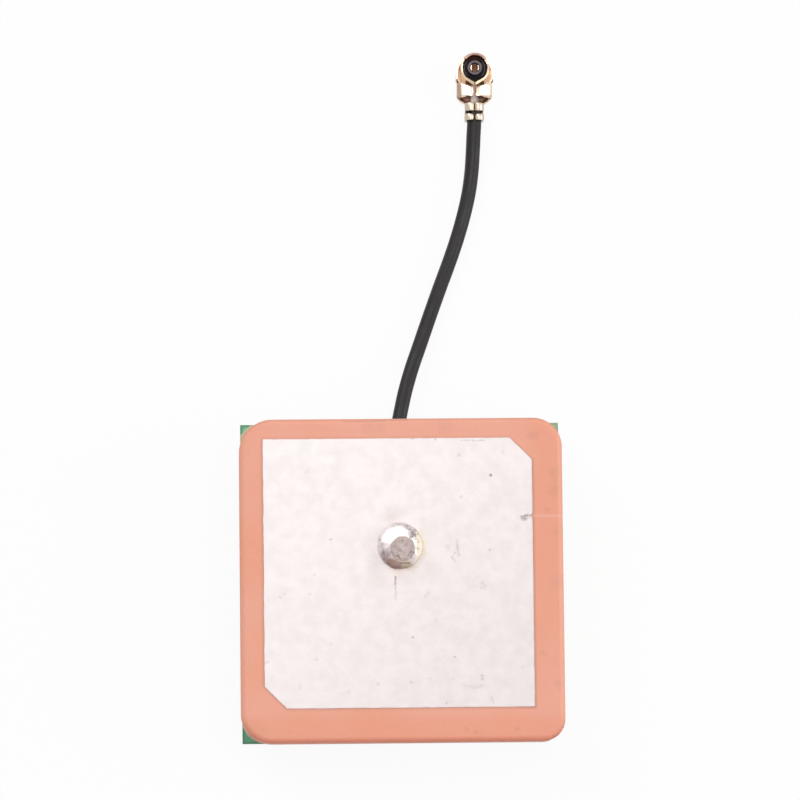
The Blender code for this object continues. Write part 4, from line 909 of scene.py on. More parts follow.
# Amplifier parts. Two amplifiers, the filter between them and chips of ceramic, wire and resistive film are
# soldered under the board. Chips have tinned ends, found here by how far a place is from the chip's middle.
BARE_SHARE = 0.5  # of a chip's half length, from its middle, that isn't tinned
END_BLUR = 0.01  # mm
TIN_DARK = (0.5, 0.49, 0.47)
CHIP_BODIES = {
    "input_capacitor": (0.46, 0.30, 0.17),
    "coupling_capacitor": (0.42, 0.27, 0.15),
    "output_capacitor": (0.44, 0.29, 0.17),
    "bypass_capacitor": (0.40, 0.26, 0.15),
    "supply_capacitor": (0.43, 0.28, 0.16),
    "matching_inductor": (0.10, 0.16, 0.24),
    "bias_inductor": (0.10, 0.15, 0.23),
    "bias_resistor": (0.02, 0.02, 0.022),
    "gain_resistor": (0.02, 0.02, 0.022),
    "supply_resistor": (0.02, 0.02, 0.022),
}


def ends_of(tree, place, node_name, bare=None):
    """1 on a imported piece's two ends, and 0 up to so many mm, or the usual share, from its middle."""
    low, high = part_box(node_name)
    longest = 0 if high.x - low.x > high.y - low.y else 1
    bare = bare or (high - low)[longest] / 2 / MM * BARE_SHARE
    middle = (low[longest] + high[longest]) / 2 / MM
    away = maths(tree, "ABSOLUTE", maths(tree, "SUBTRACT", axes_of(tree, place)[longest], middle))
    return ramp(tree, away, bare - END_BLUR, bare + END_BLUR)


def chip_finish(node_name, body_colour):
    """Ceramic in the middle of a chip and tin on its two ends."""
    made, tree, shader = new_finish(node_name + "_finish", 0.5)
    place = place_in_mm(tree)
    end = ends_of(tree, place, node_name)
    mottle = speckle(tree, place, 12.0, 4.0)
    body = mottled(tree, mottle, body_colour, tuple(channel * 0.7 for channel in body_colour))
    colour = tint(tree, end, body, mottled(tree, mottle, TIN_GREY, TIN_DARK))
    roughness = ramp(tree, mottle, 0.3, 0.8, 0.35, 0.6)
    fill(tree, shader, {"Base Color": colour, "Metallic": end, "Roughness": roughness})
    relief(tree, shader, mottle, 0.006 * MM)
    return made


for chip_name, chip_colour in CHIP_BODIES.items():
    dress(chip_name, chip_finish(chip_name, chip_colour))

AMPLIFIER_HALF_WIDTH = 0.66  # mm, past which there are only legs

for amplifier_name in ("first_amplifier", "second_amplifier"):
    package, tree, shader = new_finish(amplifier_name + "_finish", 0.6)
    place = place_in_mm(tree)
    leg = ends_of(tree, place, amplifier_name, AMPLIFIER_HALF_WIDTH)
    mottle = speckle(tree, place, 18.0, 4.0)
    resin = mottled(tree, mottle, (0.022, 0.022, 0.023), (0.045, 0.045, 0.046))
    roughness = maths(tree, "SUBTRACT", 0.65, product(tree, leg, 0.35))
    colour = tint(tree, leg, resin, TIN_GREY)
    fill(tree, shader, {"Base Color": colour, "Metallic": leg, "Roughness": roughness})
    relief(tree, shader, mottle, 0.01 * MM)
    dress(amplifier_name, package)

# Shield can. Tinned steel, 0.2 mm thick, drawn into a shallow tray whose rim is soldered to the board. An
# arched notch in its back wall lets the lead out. Rolling and drawing leave fine lines and soft dents.
CAN_HALF = 10.48 * MM
CAN_WALL = 0.2 * MM
CAN_CORNER = 1.3 * MM
CAN_BEND = 0.45 * MM
JACKET_RADIUS = 0.565 * MM
NOTCH_RADIUS = 0.725 * MM
NOTCH_MIDDLE = (-0.27 * MM, 1.80 * MM)
STEEL_BRIGHT = (0.56, 0.55, 0.535)
STEEL_DULL = (0.46, 0.45, 0.44)

tinned_steel, tree, shader = new_finish("tinned_steel", 0.3, metallic=1.0)
place = place_in_mm(tree)
rolled = speckle(tree, stretched(tree, place, (0.35, 14.0, 14.0)), 1.6, 4.0, 0.6)
blotches = speckle(tree, place, 0.5, 4.0, 0.6)
steel = mottled(tree, blotches, STEEL_BRIGHT, STEEL_DULL)
steel = tint(tree, ramp(tree, rolled, 0.5, 0.8, 0.0, 0.4), steel, STEEL_DULL)
fill(tree, shader, {"Base Color": steel, "Roughness": ramp(tree, blotches, 0.3, 0.75, 0.27, 0.36)})
relief(tree, shader, rolled, 0.004 * MM)
relief(tree, shader, speckle(tree, place, 0.35, 1.0), 0.05 * MM)


def tray_half(half, corner, bend, floor, rim):
    """Rings of one face of the tray, from its floor up to its rim."""
    rings = [at_height(rounded_square(half - bend - FLAT_RIM, [corner - bend] * 4, BOARD_MIDDLE), floor)]
    for i in range(EDGE_STEPS + 1):
        angle = math.pi / 2 * i / EDGE_STEPS
        inset = bend * (1 - math.sin(angle))
        outline = rounded_square(half - inset, [corner - inset] * 4, BOARD_MIDDLE)
        rings.append(at_height(outline, floor + bend * (1 - math.cos(angle))))
    return rings + [at_height(rounded_square(half, [corner] * 4, BOARD_MIDDLE), rim)]


low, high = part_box("shield_can")
outer = tray_half(CAN_HALF, CAN_CORNER, CAN_BEND, low.z, high.z)
inner = tray_half(CAN_HALF - CAN_WALL, CAN_CORNER - CAN_WALL, CAN_BEND - CAN_WALL, low.z + CAN_WALL, high.z)
can = loft("drawn_shield_can", outer + inner[::-1], tinned_steel)
notch_outline = arc(NOTCH_MIDDLE, NOTCH_RADIUS, math.pi, 2 * math.pi, CORNER_STEPS)
notch_outline += [(NOTCH_MIDDLE[0] + side * NOTCH_RADIUS, high.z + MM) for side in (1, -1)]
notch_ends = (high.y - CAN_WALL - MM / 2, high.y + MM)
notch = loft("lead_notch", [[(x, y, z) for x, z in notch_outline] for y in notch_ends], tinned_steel)
can = join_shapes(can, notch, "DIFFERENCE")
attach(can, "root")
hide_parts("shield_can")

filter_finish, tree, shader = new_finish("filter_lid", 0.3, metallic=1.0)
place = place_in_mm(tree)
mottle = speckle(tree, place, 3.0, 4.0)
fill(tree, shader, {"Base Color": mottled(tree, mottle, (0.72, 0.66, 0.52), (0.6, 0.54, 0.42))})
relief(tree, shader, mottle, 0.008 * MM)
dress("band_filter", filter_finish)

# Solder of the can. Four tacks of solder, one on each side, fill the corner between the can's wall and the
# board's track. Molten solder wets both and sets hollow, thin at its ends and bright.
TACK_LENGTH = 2.6 * MM
TACK_REACH = 0.55 * MM
TACK_HEIGHT = 0.5 * MM
TACK_STEPS = 36
TACK_TIP = 0.12  # share of its thickness that a tack keeps at its ends
TACK_ROOM = 0.95  # share of its reach and height that is kept, so that its unevenness stays within them
TACK_TURNS = {
    "can_solder_right": (0.0, 0.0),
    "can_solder_left": (math.pi, 0.0),
    "can_solder_front": (-math.pi / 2, 0.0),
    "can_solder_back": (math.pi / 2, CAN_HALF / 2),
}
FLAT_GAP = 0.02 * MM
FIT = 0.03 * MM
SOLDER_BRIGHT = (0.86, 0.84, 0.82)
SOLDER_GREY = (0.60, 0.57, 0.55)

bright_solder, tree, shader = new_finish("bright_solder", 0.2, metallic=1.0)
place = place_in_mm(tree)
mottle = speckle(tree, place, 2.2, 5.0, 0.6)
crystals = add_node(tree, "ShaderNodeTexVoronoi", {"Vector": place, "Scale": 5.0}, feature="DISTANCE_TO_EDGE")
grey = tint(tree, ramp(tree, mottle, 0.45, 0.7), SOLDER_BRIGHT, SOLDER_GREY)
fill(tree, shader, {"Base Color": grey, "Roughness": ramp(tree, mottle, 0.3, 0.75, 0.14, 0.38)})
relief(tree, shader, mottle, 0.02 * MM)
relief(tree, shader, ramp(tree, crystals.outputs["Distance"], 0.0, 0.15), 0.003 * MM)

for tack_name, (turn, shift) in TACK_TURNS.items():
    wall = CAN_HALF + FIT
    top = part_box("circuit_board")[0].z - FLAT_GAP
    rings = []
    for i in range(TACK_STEPS + 1):
        along = 2 * i / TACK_STEPS - 1
        fullness = TACK_TIP + (1 - TACK_TIP) * math.sqrt(1 - along ** 4)
        uneven = 1 + 0.1 * noise.noise((along * 2.3, turn * 3.0, 0.5))
        reach = TACK_REACH * fullness * uneven * TACK_ROOM
        height = TACK_HEIGHT * fullness * uneven * TACK_ROOM
        section = [(wall, top), (wall + reach, top)]
        for step in range(EDGE_STEPS + 1):
            angle = math.pi / 2 * step / EDGE_STEPS
            section.append((
                wall + FIT / 2 + (reach - FIT / 2) * (1 - math.sin(angle)),
                top - FIT / 2 - (height - FIT / 2) * (1 - math.cos(angle)),
            ))
        section.append((wall, top - height))
        y = shift + along * TACK_LENGTH / 2
        rings.append([(x, y, z) for x, z in section])
    tack = loft(tack_name + "_tack", rings, bright_solder)
    tack = settled(tack, Matrix.Translation((*BOARD_MIDDLE, 0.0)) @ Matrix.Rotation(turn, 4, "Z"))
    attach(tack, "root")
    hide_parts(tack_name)

# Adhesive pad. A thin square of soft cream foam tape, cut a little smaller than the block, holds the block on
# the board. It shows as a pale line at the round corners, and its cut edge is open and porous.
foam, tree, shader = new_finish("adhesive_foam", 0.85, specular=0.25)
place = place_in_mm(tree)
pores = add_node(tree, "ShaderNodeTexVoronoi", {"Vector": place, "Scale": 14.0}).outputs["Distance"]
cream = tint(tree, ramp(tree, pores, 0.15, 0.45), (0.50, 0.46, 0.36), (0.80, 0.76, 0.64))
fill(tree, shader, {"Base Color": cream})
relief(tree, shader, pores, 0.02 * MM)
dress("adhesive_pad", foam)

# Feed pin. A tinned brass nail, pushed through patch, block and board. Its flat head lies in the solder, and
# has gone grey and pitted where the iron dwelt on it.
PIN_RADIUS = 0.45 * MM
PIN_HEAD_RADIUS = 0.88 * MM
PIN_HEAD_HEIGHT = 0.6 * MM
PIN_HEAD_EDGE = 0.12 * MM
PIN_POINT = 0.15 * MM
HEAD_RINGS = 26
AROUND = 96
HEAD_GREY = (0.40, 0.315, 0.295)
HEAD_PALE = (0.57, 0.465, 0.44)
PIT_BROWN = (0.20, 0.14, 0.13)
HEAD_PITS = (  # x, y and radius in mm, and how dark
    (-0.36, 1.72, 0.13, 0.85),
    (0.70, 2.06, 0.12, 0.7),
    (0.05, 2.95, 0.10, 0.45),
    (-0.55, 2.62, 0.16, 0.35),
    (0.32, 2.62, 0.14, 0.25),
    (-0.20, 2.30, 0.10, 0.25),
)


def add_turned(bm, profile, centre):
    """Adds a profile of (radius, height) points, turned about an upright axis."""
    ring = [bm.verts.new((centre[0] + r, centre[1], z)) for r, z in profile]
    edges = [bm.edges.new(pair) for pair in zip(ring, ring[1:])]
    if profile[0][0] > 0.0:
        edges.append(bm.edges.new((ring[-1], ring[0])))
    bmesh.ops.spin(
        bm,
        geom=ring + edges,
        cent=(centre[0], centre[1], 0.0),
        axis=(0.0, 0.0, 1.0),
        angle=2 * math.pi,
        steps=AROUND,
        use_merge=True,
    )
    bmesh.ops.remove_doubles(bm, verts=bm.verts, dist=MERGE)


def head_sag(x, y):
    """How far the head's uneven face lies below its top."""
    place = Vector((x, y, 0.0)) / MM
    spread = math.hypot(x - FEED[0], y - FEED[1]) / PIN_HEAD_RADIUS
    sag = 0.03 + 0.02 * spread ** 2 - 0.030 * noise.noise(place * 2.4) - 0.010 * noise.noise(place * 7.0)
    for pit_x, pit_y, radius, darkness in HEAD_PITS:
        away = math.hypot(place.x - pit_x, place.y - pit_y) / radius
        sag += 0.03 * darkness * math.exp(-away * away)
    return sag * MM


low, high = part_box("feed_pin")
head_top = high.z
head_bottom = head_top - PIN_HEAD_HEIGHT
face_radius = PIN_HEAD_RADIUS - PIN_HEAD_EDGE
profile = [
    (0.0, low.z),
    (PIN_RADIUS - PIN_POINT, low.z),
    (PIN_RADIUS, low.z + PIN_POINT),
    (PIN_RADIUS, head_bottom),
    (PIN_HEAD_RADIUS, head_bottom),
]
profile += arc((face_radius, head_top - PIN_HEAD_EDGE), PIN_HEAD_EDGE, 0.0, math.pi / 2, EDGE_STEPS)
profile += [(face_radius * (1 - i / HEAD_RINGS), head_top) for i in range(1, HEAD_RINGS + 1)]
bm = bmesh.new()
add_turned(bm, profile, FEED)
for vert in bm.verts:
    if vert.co.z > head_bottom + PIN_HEAD_HEIGHT / 2:
        vert.co.z -= head_sag(vert.co.x, vert.co.y)

oxidised, tree, shader = new_finish("oxidised_pin_head", 0.5, metallic=0.35)
place = place_in_mm(tree)
mottle = speckle(tree, place, 3.2, 6.0, 0.65, 0.6)
fine = speckle(tree, place, 14.0, 4.0, 0.6)
head_colour = tint(tree, ramp(tree, mottle, 0.38, 0.66), HEAD_GREY, HEAD_PALE)
pits = smudged(tree, strayed(tree, place, 3.0, 0.06), HEAD_PITS, 0.8)
head_colour = tint(tree, pits, head_colour, PIT_BROWN)
fill(tree, shader, {"Base Color": head_colour, "Roughness": ramp(tree, mottle, 0.3, 0.75, 0.42, 0.62)})
relief(tree, shader, mottle, 0.05 * MM)
relief(tree, shader, fine, 0.012 * MM)
pin = settled(shape_from("nail_head_feed_pin", bm, oxidised))
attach(pin, "root")
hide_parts("feed_pin")

# Feed solder. A dome of tin solder, flowed round the pin's head by hand. It is bright and smooth behind, and
# rough with dross to the right of there. Amber flux lies to its right, and a dark reflection is painted brown
# along its front foot.
DOME_RADIUS = 1.78 * MM
DOME_HEIGHT = 0.54 * MM
DOME_FOOT = (-0.12 * MM, 2.62 * MM)
DOME_RINGS = 34
DOME_LIP = 0.80 * MM  # from the feed's axis, where the solder ends on the head's rounded edge
DOME_OVERLAP = 0.01 * MM
DISC_MIDDLE = (0.05, 2.33)  # mm, of the dull disc that the head and the solder round it make
DISC_RADIUS = 0.99
FRONT_FOOT = (1.82, 1.40)  # mm along, and two stretches across, between which a dark reflection is painted brown
FRONT_FOOT_RIGHT = (1.05, 0.45)
FRONT_FOOT_LEFT = (-1.42, -1.10)
RIGHT_FOOT = (1.00, 1.20)  # mm across and along, between which amber flux lies
RIGHT_FOOT_BACK = (3.9, 3.4)
WET_LEVELS = (0.22, 0.02)  # mm above the patch, over which the solder thins out to a film
DROSS_MIDDLE = (0.80, 3.42)
LUMP_MIDDLE = (-1.35, 2.10)
DROSS_SPECKS = (  # x, y and radius in mm, and how dark
    (0.42, 4.05, 0.10, 0.55),
    (0.62, 3.88, 0.09, 0.60),
    (0.80, 3.62, 0.12, 0.60),
    (0.72, 3.30, 0.12, 0.85),
    (0.98, 3.40, 0.10, 0.55),
    (1.06, 3.74, 0.10, 0.50),
    (1.26, 3.52, 0.09, 0.50),
    (1.02, 3.05, 0.08, 0.55),
    (-1.66, 3.05, 0.10, 0.60),
    (-1.45, 2.72, 0.09, 0.35),
    (-1.42, 2.02, 0.13, 0.60),
    (-1.12, 1.86, 0.12, 0.60),
    (-1.38, 1.62, 0.11, 0.45),
    (-0.90, 2.10, 0.09, 0.45),
    (1.28, 2.85, 0.09, 0.65),
    (1.22, 2.35, 0.10, 0.45),
    (0.92, 2.00, 0.10, 0.80),
    (-0.20, 1.62, 0.09, 0.70),
)
DULL_PATCHES = (  # x, y and radius in mm, and how dull
    (0.85, 3.50, 0.50, 0.60),
    (0.50, 4.00, 0.34, 0.40),
    (1.20, 3.55, 0.30, 0.45),
    (-1.18, 1.88, 0.55, 0.95),
    (-0.88, 2.25, 0.50, 0.80),
    (-1.30, 2.55, 0.42, 0.60),
    (-0.70, 1.62, 0.32, 0.70),
    (0.85, 1.80, 0.26, 0.60),
    (1.35, 2.90, 0.30, 0.30),
)
REFLECTION_BROWN = (0.37, 0.225, 0.185)
REFLECTION_BEIGE = (0.56, 0.42, 0.32)
REFLECTION_OLIVE = (0.20, 0.145, 0.085)
OLIVE_STRIP = ((-0.15, 1.24), (0.50, 1.22), 0.16)  # start, end and width in mm
FLUX_AMBER = (0.86, 0.76, 0.60)
SOLDER_MIRROR = (0.90, 0.855, 0.835)
SOLDER_MISTED = (0.70, 0.645, 0.635)
SOLDER_DULL = (0.45, 0.365, 0.375)
DROSS_BLACK = (0.13, 0.10, 0.10)


def bulge(x, y, middle, spread):
    """1 in the middle, in mm, and less and less away from it."""
    return math.exp(-((x / MM - middle[0]) ** 2 + (y / MM - middle[1]) ** 2) / spread)


low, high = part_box("feed_solder")
rim_radius = PIN_HEAD_RADIUS + DOME_OVERLAP
headings = [Vector((*point, 0.0)) for point in ring_of(1.0, steps=AROUND)]
rings = []
for step in range(DOME_RINGS + 1):
    angle = math.pi / 2 * step / DOME_RINGS
    share = math.sin(angle)
    loose = math.sin(2 * angle)
    centre = Vector(DOME_FOOT).lerp(Vector(FEED), share)
    ring = []
    for heading in headings:
        uneven = 0.030 * noise.noise(heading * 1.6) + 0.022 * noise.noise(heading * 5.0)
        uneven += 0.012 * noise.noise(heading * 13.0)
        foot = DOME_RADIUS * (1 + uneven)
        radius = rim_radius + (foot - rim_radius) * math.cos(angle) ** 0.85
        x = centre.x + radius * heading.x
        y = centre.y + radius * heading.y
        z = low.z + DOME_HEIGHT * share
        z += loose * noise.noise((x / MM * 1.3, y / MM * 1.3, 0.0)) * 0.06 * MM
        rough = bulge(x, y, DROSS_MIDDLE, 0.25) + 0.7 * bulge(x, y, LUMP_MIDDLE, 0.15)
        z += loose * rough * noise.noise((x / MM * 5.5, y / MM * 5.5, 3.0)) * 0.20 * MM
        ring.append((x, y, min(z, high.z)))
    rings.append(ring)
lip_reach = DOME_LIP - PIN_HEAD_RADIUS + PIN_HEAD_EDGE
lip_drop = PIN_HEAD_EDGE - math.sqrt(PIN_HEAD_EDGE ** 2 - lip_reach ** 2) + DOME_OVERLAP
top_ring = rings[-1]
for share in (0.35, 0.7, 1.0):
    lip = ring_of(rim_radius + (DOME_LIP - rim_radius) * share, FEED, AROUND)
    ring = []
    for (x, y), (_, _, top) in zip(lip, top_ring):
        lip_z = head_top - head_sag(x, y) - lip_drop
        ring.append((x, y, top + (lip_z - top) * share ** 2))
    rings.append(ring)
rings.append([(x, y, z - 5 * DOME_OVERLAP) for x, y, z in rings[-1]])
for z in (head_top - 2 * PIN_HEAD_EDGE, low.z):
    rings.append(at_height(ring_of(PIN_HEAD_RADIUS - 0.01 * MM, FEED, AROUND), z))

dome_finish, tree, shader = new_finish("hand_flowed_solder", 0.25, metallic=1.0)
place = place_in_mm(tree)
mottle = speckle(tree, place, 1.6, 5.0, 0.6, 0.8)
fine = speckle(tree, place, 9.0, 4.0, 0.6)
uneven = strayed(tree, place, 1.8, 0.18)
axes = axes_of(tree, uneven)
front_foot = product(
    tree,
    ramp(tree, axes["Y"], *FRONT_FOOT),
    ramp(tree, axes["X"], *FRONT_FOOT_RIGHT),
    ramp(tree, axes["X"], *FRONT_FOOT_LEFT, 0.35, 1.0),
)
right_foot = product(tree, ramp(tree, axes["X"], *RIGHT_FOOT), ramp(tree, axes["Y"], *RIGHT_FOOT_BACK))
wetting = ramp(tree, maths(tree, "SUBTRACT", axes["Z"], low.z / MM), *WET_LEVELS)
round_head = spot(tree, strayed(tree, place, 2.6, 0.09), DISC_MIDDLE, DISC_RADIUS, 0.09)
dull = smudged(tree, strayed(tree, place, 3.5, 0.2), DULL_PATCHES, 0.6)
specks = smudged(tree, strayed(tree, place, 4.0, 0.16), DROSS_SPECKS, 0.9)
specks = product(tree, specks, ramp(tree, fine, 0.38, 0.56, 0.45, 1.0))
dome_colour = tint(tree, ramp(tree, mottle, 0.42, 0.68), SOLDER_MIRROR, SOLDER_MISTED)
dome_colour = tint(tree, dull, dome_colour, SOLDER_DULL)
dome_colour = tint(tree, product(tree, wetting, 0.8), dome_colour, SILVER_WHITE)
dome_colour = tint(tree, product(tree, right_foot, 0.85), dome_colour, FLUX_AMBER)
# Painted reflection: the front foot is painted brown, beige and olive, as solder reflecting the dark front.
flux_and_reflection = tint(tree, ramp(tree, axes["X"], -0.25, 0.05), REFLECTION_BROWN, REFLECTION_BEIGE)
flux_and_reflection = tint(tree, stroke(tree, uneven, *OLIVE_STRIP), flux_and_reflection, REFLECTION_OLIVE)
dome_colour = tint(tree, product(tree, front_foot, 0.92), dome_colour, flux_and_reflection)
head_like = tint(tree, ramp(tree, mottle, 0.38, 0.66), HEAD_GREY, HEAD_PALE)
dome_colour = tint(tree, product(tree, round_head, 0.9), dome_colour, head_like)
dome_colour = tint(tree, specks, dome_colour, DROSS_BLACK)
crusted = most_of(tree, [front_foot, wetting, right_foot, product(tree, round_head, 1.4), specks, dull])
roughness = maths(tree, "ADD", 0.25, product(tree, crusted, 0.3))
metallic = maths(tree, "SUBTRACT", 1.0, product(tree, crusted, 0.65))
fill(tree, shader, {"Base Color": dome_colour, "Roughness": roughness, "Metallic": metallic})
relief(tree, shader, mottle, 0.025 * MM)
relief(tree, shader, product(tree, fine, ramp(tree, dull, 0.0, 1.0, 0.2, 1.0)), 0.03 * MM)
dome = settled(loft("hand_flowed_feed_solder", rings, dome_finish, looped=True))
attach(dome, "root")
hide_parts("feed_solder")

dress("tail_solder", bright_solder)

# Plug contact. Copper alloy, stamped, formed into a small closed cup whose rim is slit into two prongs, and
# plated with gold. Its leg runs back under the lead's centre wire, and it stands in the insulator's boss.
PLUG_MIDDLE = (6.40, 40.87)  # mm
PLUG_PLACE = Matrix.Translation((PLUG_MIDDLE[0] * MM, PLUG_MIDDLE[1] * MM, 0.01 * MM))
PLUG_PLACE = PLUG_PLACE @ Matrix.Rotation(math.radians(-1.0), 4, "Z")
SOCKET_MIDDLE = (0.0, 0.0)
CONTACT_RADIUS = 0.35 * MM
CONTACT_WALL = 0.1 * MM
CONTACT_LIP = 0.035 * MM
CONTACT_BOTTOM = 0.425 * MM
CONTACT_HEIGHT = 1.42 * MM
CONTACT_SLOT_DEPTH = 0.40 * MM
SLOT_HALF_WIDTHS = (0.16 * MM, 0.24 * MM)  # at its foot and at its mouth
LEG_HALF_WIDTH = 0.15 * MM
LEG_END = -1.10 * MM
LEG_LEVELS = (0.475 * MM, 0.595 * MM)
SHADED_NOSE_BAND = (0.55, 0.90)  # mm along the plug from its socket's middle, as the next three are
LIPS_BEHIND = (-0.35, -0.70)
BEHIND_SOCKET = (-0.90, -1.30)
SHADED_BACK_END = (-2.60, -2.90)
LEFT_FLANK = (-1.02, -1.14)  # mm across it, as the next two are
RIGHT_FLANK = (1.12, 1.22)
RECESS_SHADE_SIDES = (-0.60, 0.50)
LIP_LEVELS = (1.62, 1.80)  # mm above the table, as the next two are
RECESS_SHADE_LEVELS = (0.85, 0.35)
CUP_LEVELS = (1.30, 1.10)
CUP_RADIUS = 0.34
GOLD_PALE = (0.85, 0.68, 0.51)
GOLD_PINK = (0.72, 0.52, 0.42)
GOLD_DARK = (0.40, 0.25, 0.17)
GOLD_RECESS_SHADE = (0.24, 0.145, 0.065)
CUP_SHADE_BROWN = (0.040, 0.016, 0.011)
CUP_SHADE_TAN = (0.15, 0.085, 0.040)
GOLD_SHADED_RUDDY = (0.40, 0.20, 0.15)
GOLD_SHADED_ROSE = (0.62, 0.38, 0.30)
GOLD_SHADED_GREY = (0.50, 0.43, 0.35)
GOLD_SHADED_FLANK = (0.40, 0.27, 0.20)
GOLD_SHADED_CREAM = (0.64, 0.50, 0.36)
GOLD_YELLOW = (0.64, 0.49, 0.30)


def about_plug(tree, place):
    """The place's X and Y in mm from the middle of the plug's socket, and its Z above the table."""
    return axes_of(tree, vector_maths(tree, "SUBTRACT", place, (*PLUG_MIDDLE, 0)))


pale_gold, tree, shader = new_finish("pale_gold_plating", 0.22, metallic=1.0)
place = place_in_mm(tree)
tarnish = speckle(tree, place, 1.3, 3.0, 0.55)
grains = speckle(tree, place, 22.0, 3.0, 0.6)
drawn = speckle(tree, stretched(tree, place, (18.0, 1.4, 18.0)), 1.0, 3.0, 0.6)
across, along, height = about_plug(tree, place)
gold = tint(tree, ramp(tree, tarnish, 0.40, 0.66), GOLD_PALE, GOLD_PINK)
# Painted shade: the nose is painted a darker rose.
gold = tint(tree, ramp(tree, along, *SHADED_NOSE_BAND, 0.0, 0.9), gold, GOLD_SHADED_ROSE)
# Painted shade: from the neck back, the crimps are painted a greyer, darker gold.
gold = tint(tree, ramp(tree, along, *SHADED_BACK_END, 0.0, 0.8), gold, GOLD_SHADED_GREY)
# Painted shade: the box's rounded sides behind the socket are painted darker, tan on the left and cream on
# the right.
behind_socket = ramp(tree, along, *BEHIND_SOCKET)
shaded_left_flank = product(tree, ramp(tree, across, *LEFT_FLANK, 0.0, 0.85), behind_socket)
gold = tint(tree, shaded_left_flank, gold, GOLD_SHADED_FLANK)
shaded_right_flank = product(tree, ramp(tree, across, *RIGHT_FLANK, 0.0, 0.75), behind_socket)
gold = tint(tree, shaded_right_flank, gold, GOLD_SHADED_CREAM)
lips = product(tree, ramp(tree, height, *LIP_LEVELS), ramp(tree, along, *LIPS_BEHIND), 0.8)
gold = tint(tree, lips, gold, GOLD_YELLOW)
gold = tint(tree, ramp(tree, grains, 0.62, 0.85, 0.0, 0.3), gold, GOLD_DARK)
# Painted shade: up-facing floors low in the plug are painted dark, ruddy on the left and brown on the right,
# and rougher.
facing_up = ramp(tree, facing_of(tree)["Z"], 0.2, 0.7)
painted_recess_shade = product(tree, facing_up, ramp(tree, height, *RECESS_SHADE_LEVELS, 0.0, 0.9))
gold = tint(tree, painted_recess_shade, gold, tint(tree, ramp(tree, across, *RECESS_SHADE_SIDES), GOLD_SHADED_RUDDY, GOLD_RECESS_SHADE))
# Painted shade: the floor deep in the contact's cup is painted nearly black-brown, with tan grains.
shaded_cup_floor = product(tree, spot(tree, place, PLUG_MIDDLE, CUP_RADIUS, 0.1), ramp(tree, height, *CUP_LEVELS))
gold = tint(tree, shaded_cup_floor, gold, tint(tree, ramp(tree, grains, 0.52, 0.66), CUP_SHADE_BROWN, CUP_SHADE_TAN))
roughness = maths(tree, "ADD", ramp(tree, tarnish, 0.30, 0.70, 0.20, 0.38), product(tree, painted_recess_shade, 0.2))
fill(tree, shader, {"Base Color": gold, "Roughness": roughness})
relief(tree, shader, drawn, 0.003 * MM)
relief(tree, shader, grains, 0.002 * MM)


def turned(name, profile, finish):
    """A profile turned about the axis of the plug's socket."""
    bm = bmesh.new()
    add_turned(bm, profile, SOCKET_MIDDLE)
    return shape_from(name, bm, finish)


def box_block(name, half_width, ends, levels, finish):
    """A block across the plug's middle line, from one place along it to another."""
    outline = [(half_width, ends[0]), (half_width, ends[1]), (-half_width, ends[1]), (-half_width, ends[0])]
    return loft(name, [at_height(outline, z) for z in levels], finish)


inner = CONTACT_RADIUS - CONTACT_WALL
lip_z = CONTACT_HEIGHT - CONTACT_LIP
slot_floor = CONTACT_HEIGHT - CONTACT_SLOT_DEPTH
profile = [(0.0, CONTACT_BOTTOM), (CONTACT_RADIUS, CONTACT_BOTTOM)]
profile += arc((CONTACT_RADIUS - CONTACT_LIP, lip_z), CONTACT_LIP, 0.0, math.pi / 2, EDGE_STEPS)
profile += arc((inner + CONTACT_LIP, lip_z), CONTACT_LIP, math.pi / 2, math.pi, EDGE_STEPS)
profile += [(inner, slot_floor), (0.0, slot_floor)]
contact = turned("rolled_plug_contact", profile, pale_gold)
leg_ends = (-CONTACT_RADIUS + CONTACT_WALL / 2, LEG_END)
leg = box_block("contact_leg", LEG_HALF_WIDTH, leg_ends, LEG_LEVELS, pale_gold)
contact = join_shapes(contact, leg, "UNION")
slot_foot, slot_mouth = SLOT_HALF_WIDTHS
slot_section = [
    (slot_foot, slot_floor),
    (slot_mouth, CONTACT_HEIGHT),
    (slot_mouth, CONTACT_HEIGHT + MM),
    (-slot_mouth, CONTACT_HEIGHT + MM),
    (-slot_mouth, CONTACT_HEIGHT),
    (-slot_foot, slot_floor),
]
slot = loft("contact_slot", [[(x, y, z) for x, z in slot_section] for y in (-MM, MM)], pale_gold)
contact = settled(join_shapes(contact, slot, "DIFFERENCE"), PLUG_PLACE)
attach(contact, "root")
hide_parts("plug_contact")

# Plug insulator. Black glass-filled plastic, moulded round the contact. It fills the foot of the socket and
# stands up in a boss with a rounded rim, inside a low ring that centres the mating part.
SOCKET_RADIUS = 1.02 * MM
SOCKET_REACH = 1.30 * MM  # from the middle of the socket back to the seam of its lips
SHEET = 0.15 * MM
FLOOR_HEIGHT = 1.0 * MM
FLOOR_EDGE = 0.03 * MM
BOSS_RADIUS = 0.58 * MM
BOSS_HEIGHT = 1.5 * MM
BOSS_EDGE = 0.06 * MM
BOSS_MOUTH = 0.05 * MM
RING_RADII = (0.74 * MM, 0.86 * MM)
RING_HEIGHT = 0.09 * MM
PLUG_AXIS = 0.745 * MM  # of the lead over the plug's back
WIRE_RADIUS = 0.12 * MM
BACK_BULGE = 0.10 * MM  # of the round towards where the lips leave it
BULGE_START = math.radians(95)
NOTCH_START = math.radians(49)  # from the nose round to each side
NOTCH_END = math.radians(76)
NOSE_STEPS = 12
NOTCH_STEPS = 6
SIDE_STEPS = 16
BOSS_LEVELS = (1.40, 1.50)  # mm above the table, over which the boss's top is painted with a grey highlight
CLEAR_OF_AXIS = (0.45, 0.65)  # mm to each side, from where the ring's crest is painted with a grey highlight
UNDER_NOSE = (0.52, 0.88)  # mm in front of the socket's middle, where the floor is painted with a dark reflection of the wall's gold
MOULDED_BLACK = (0.008, 0.005, 0.007)
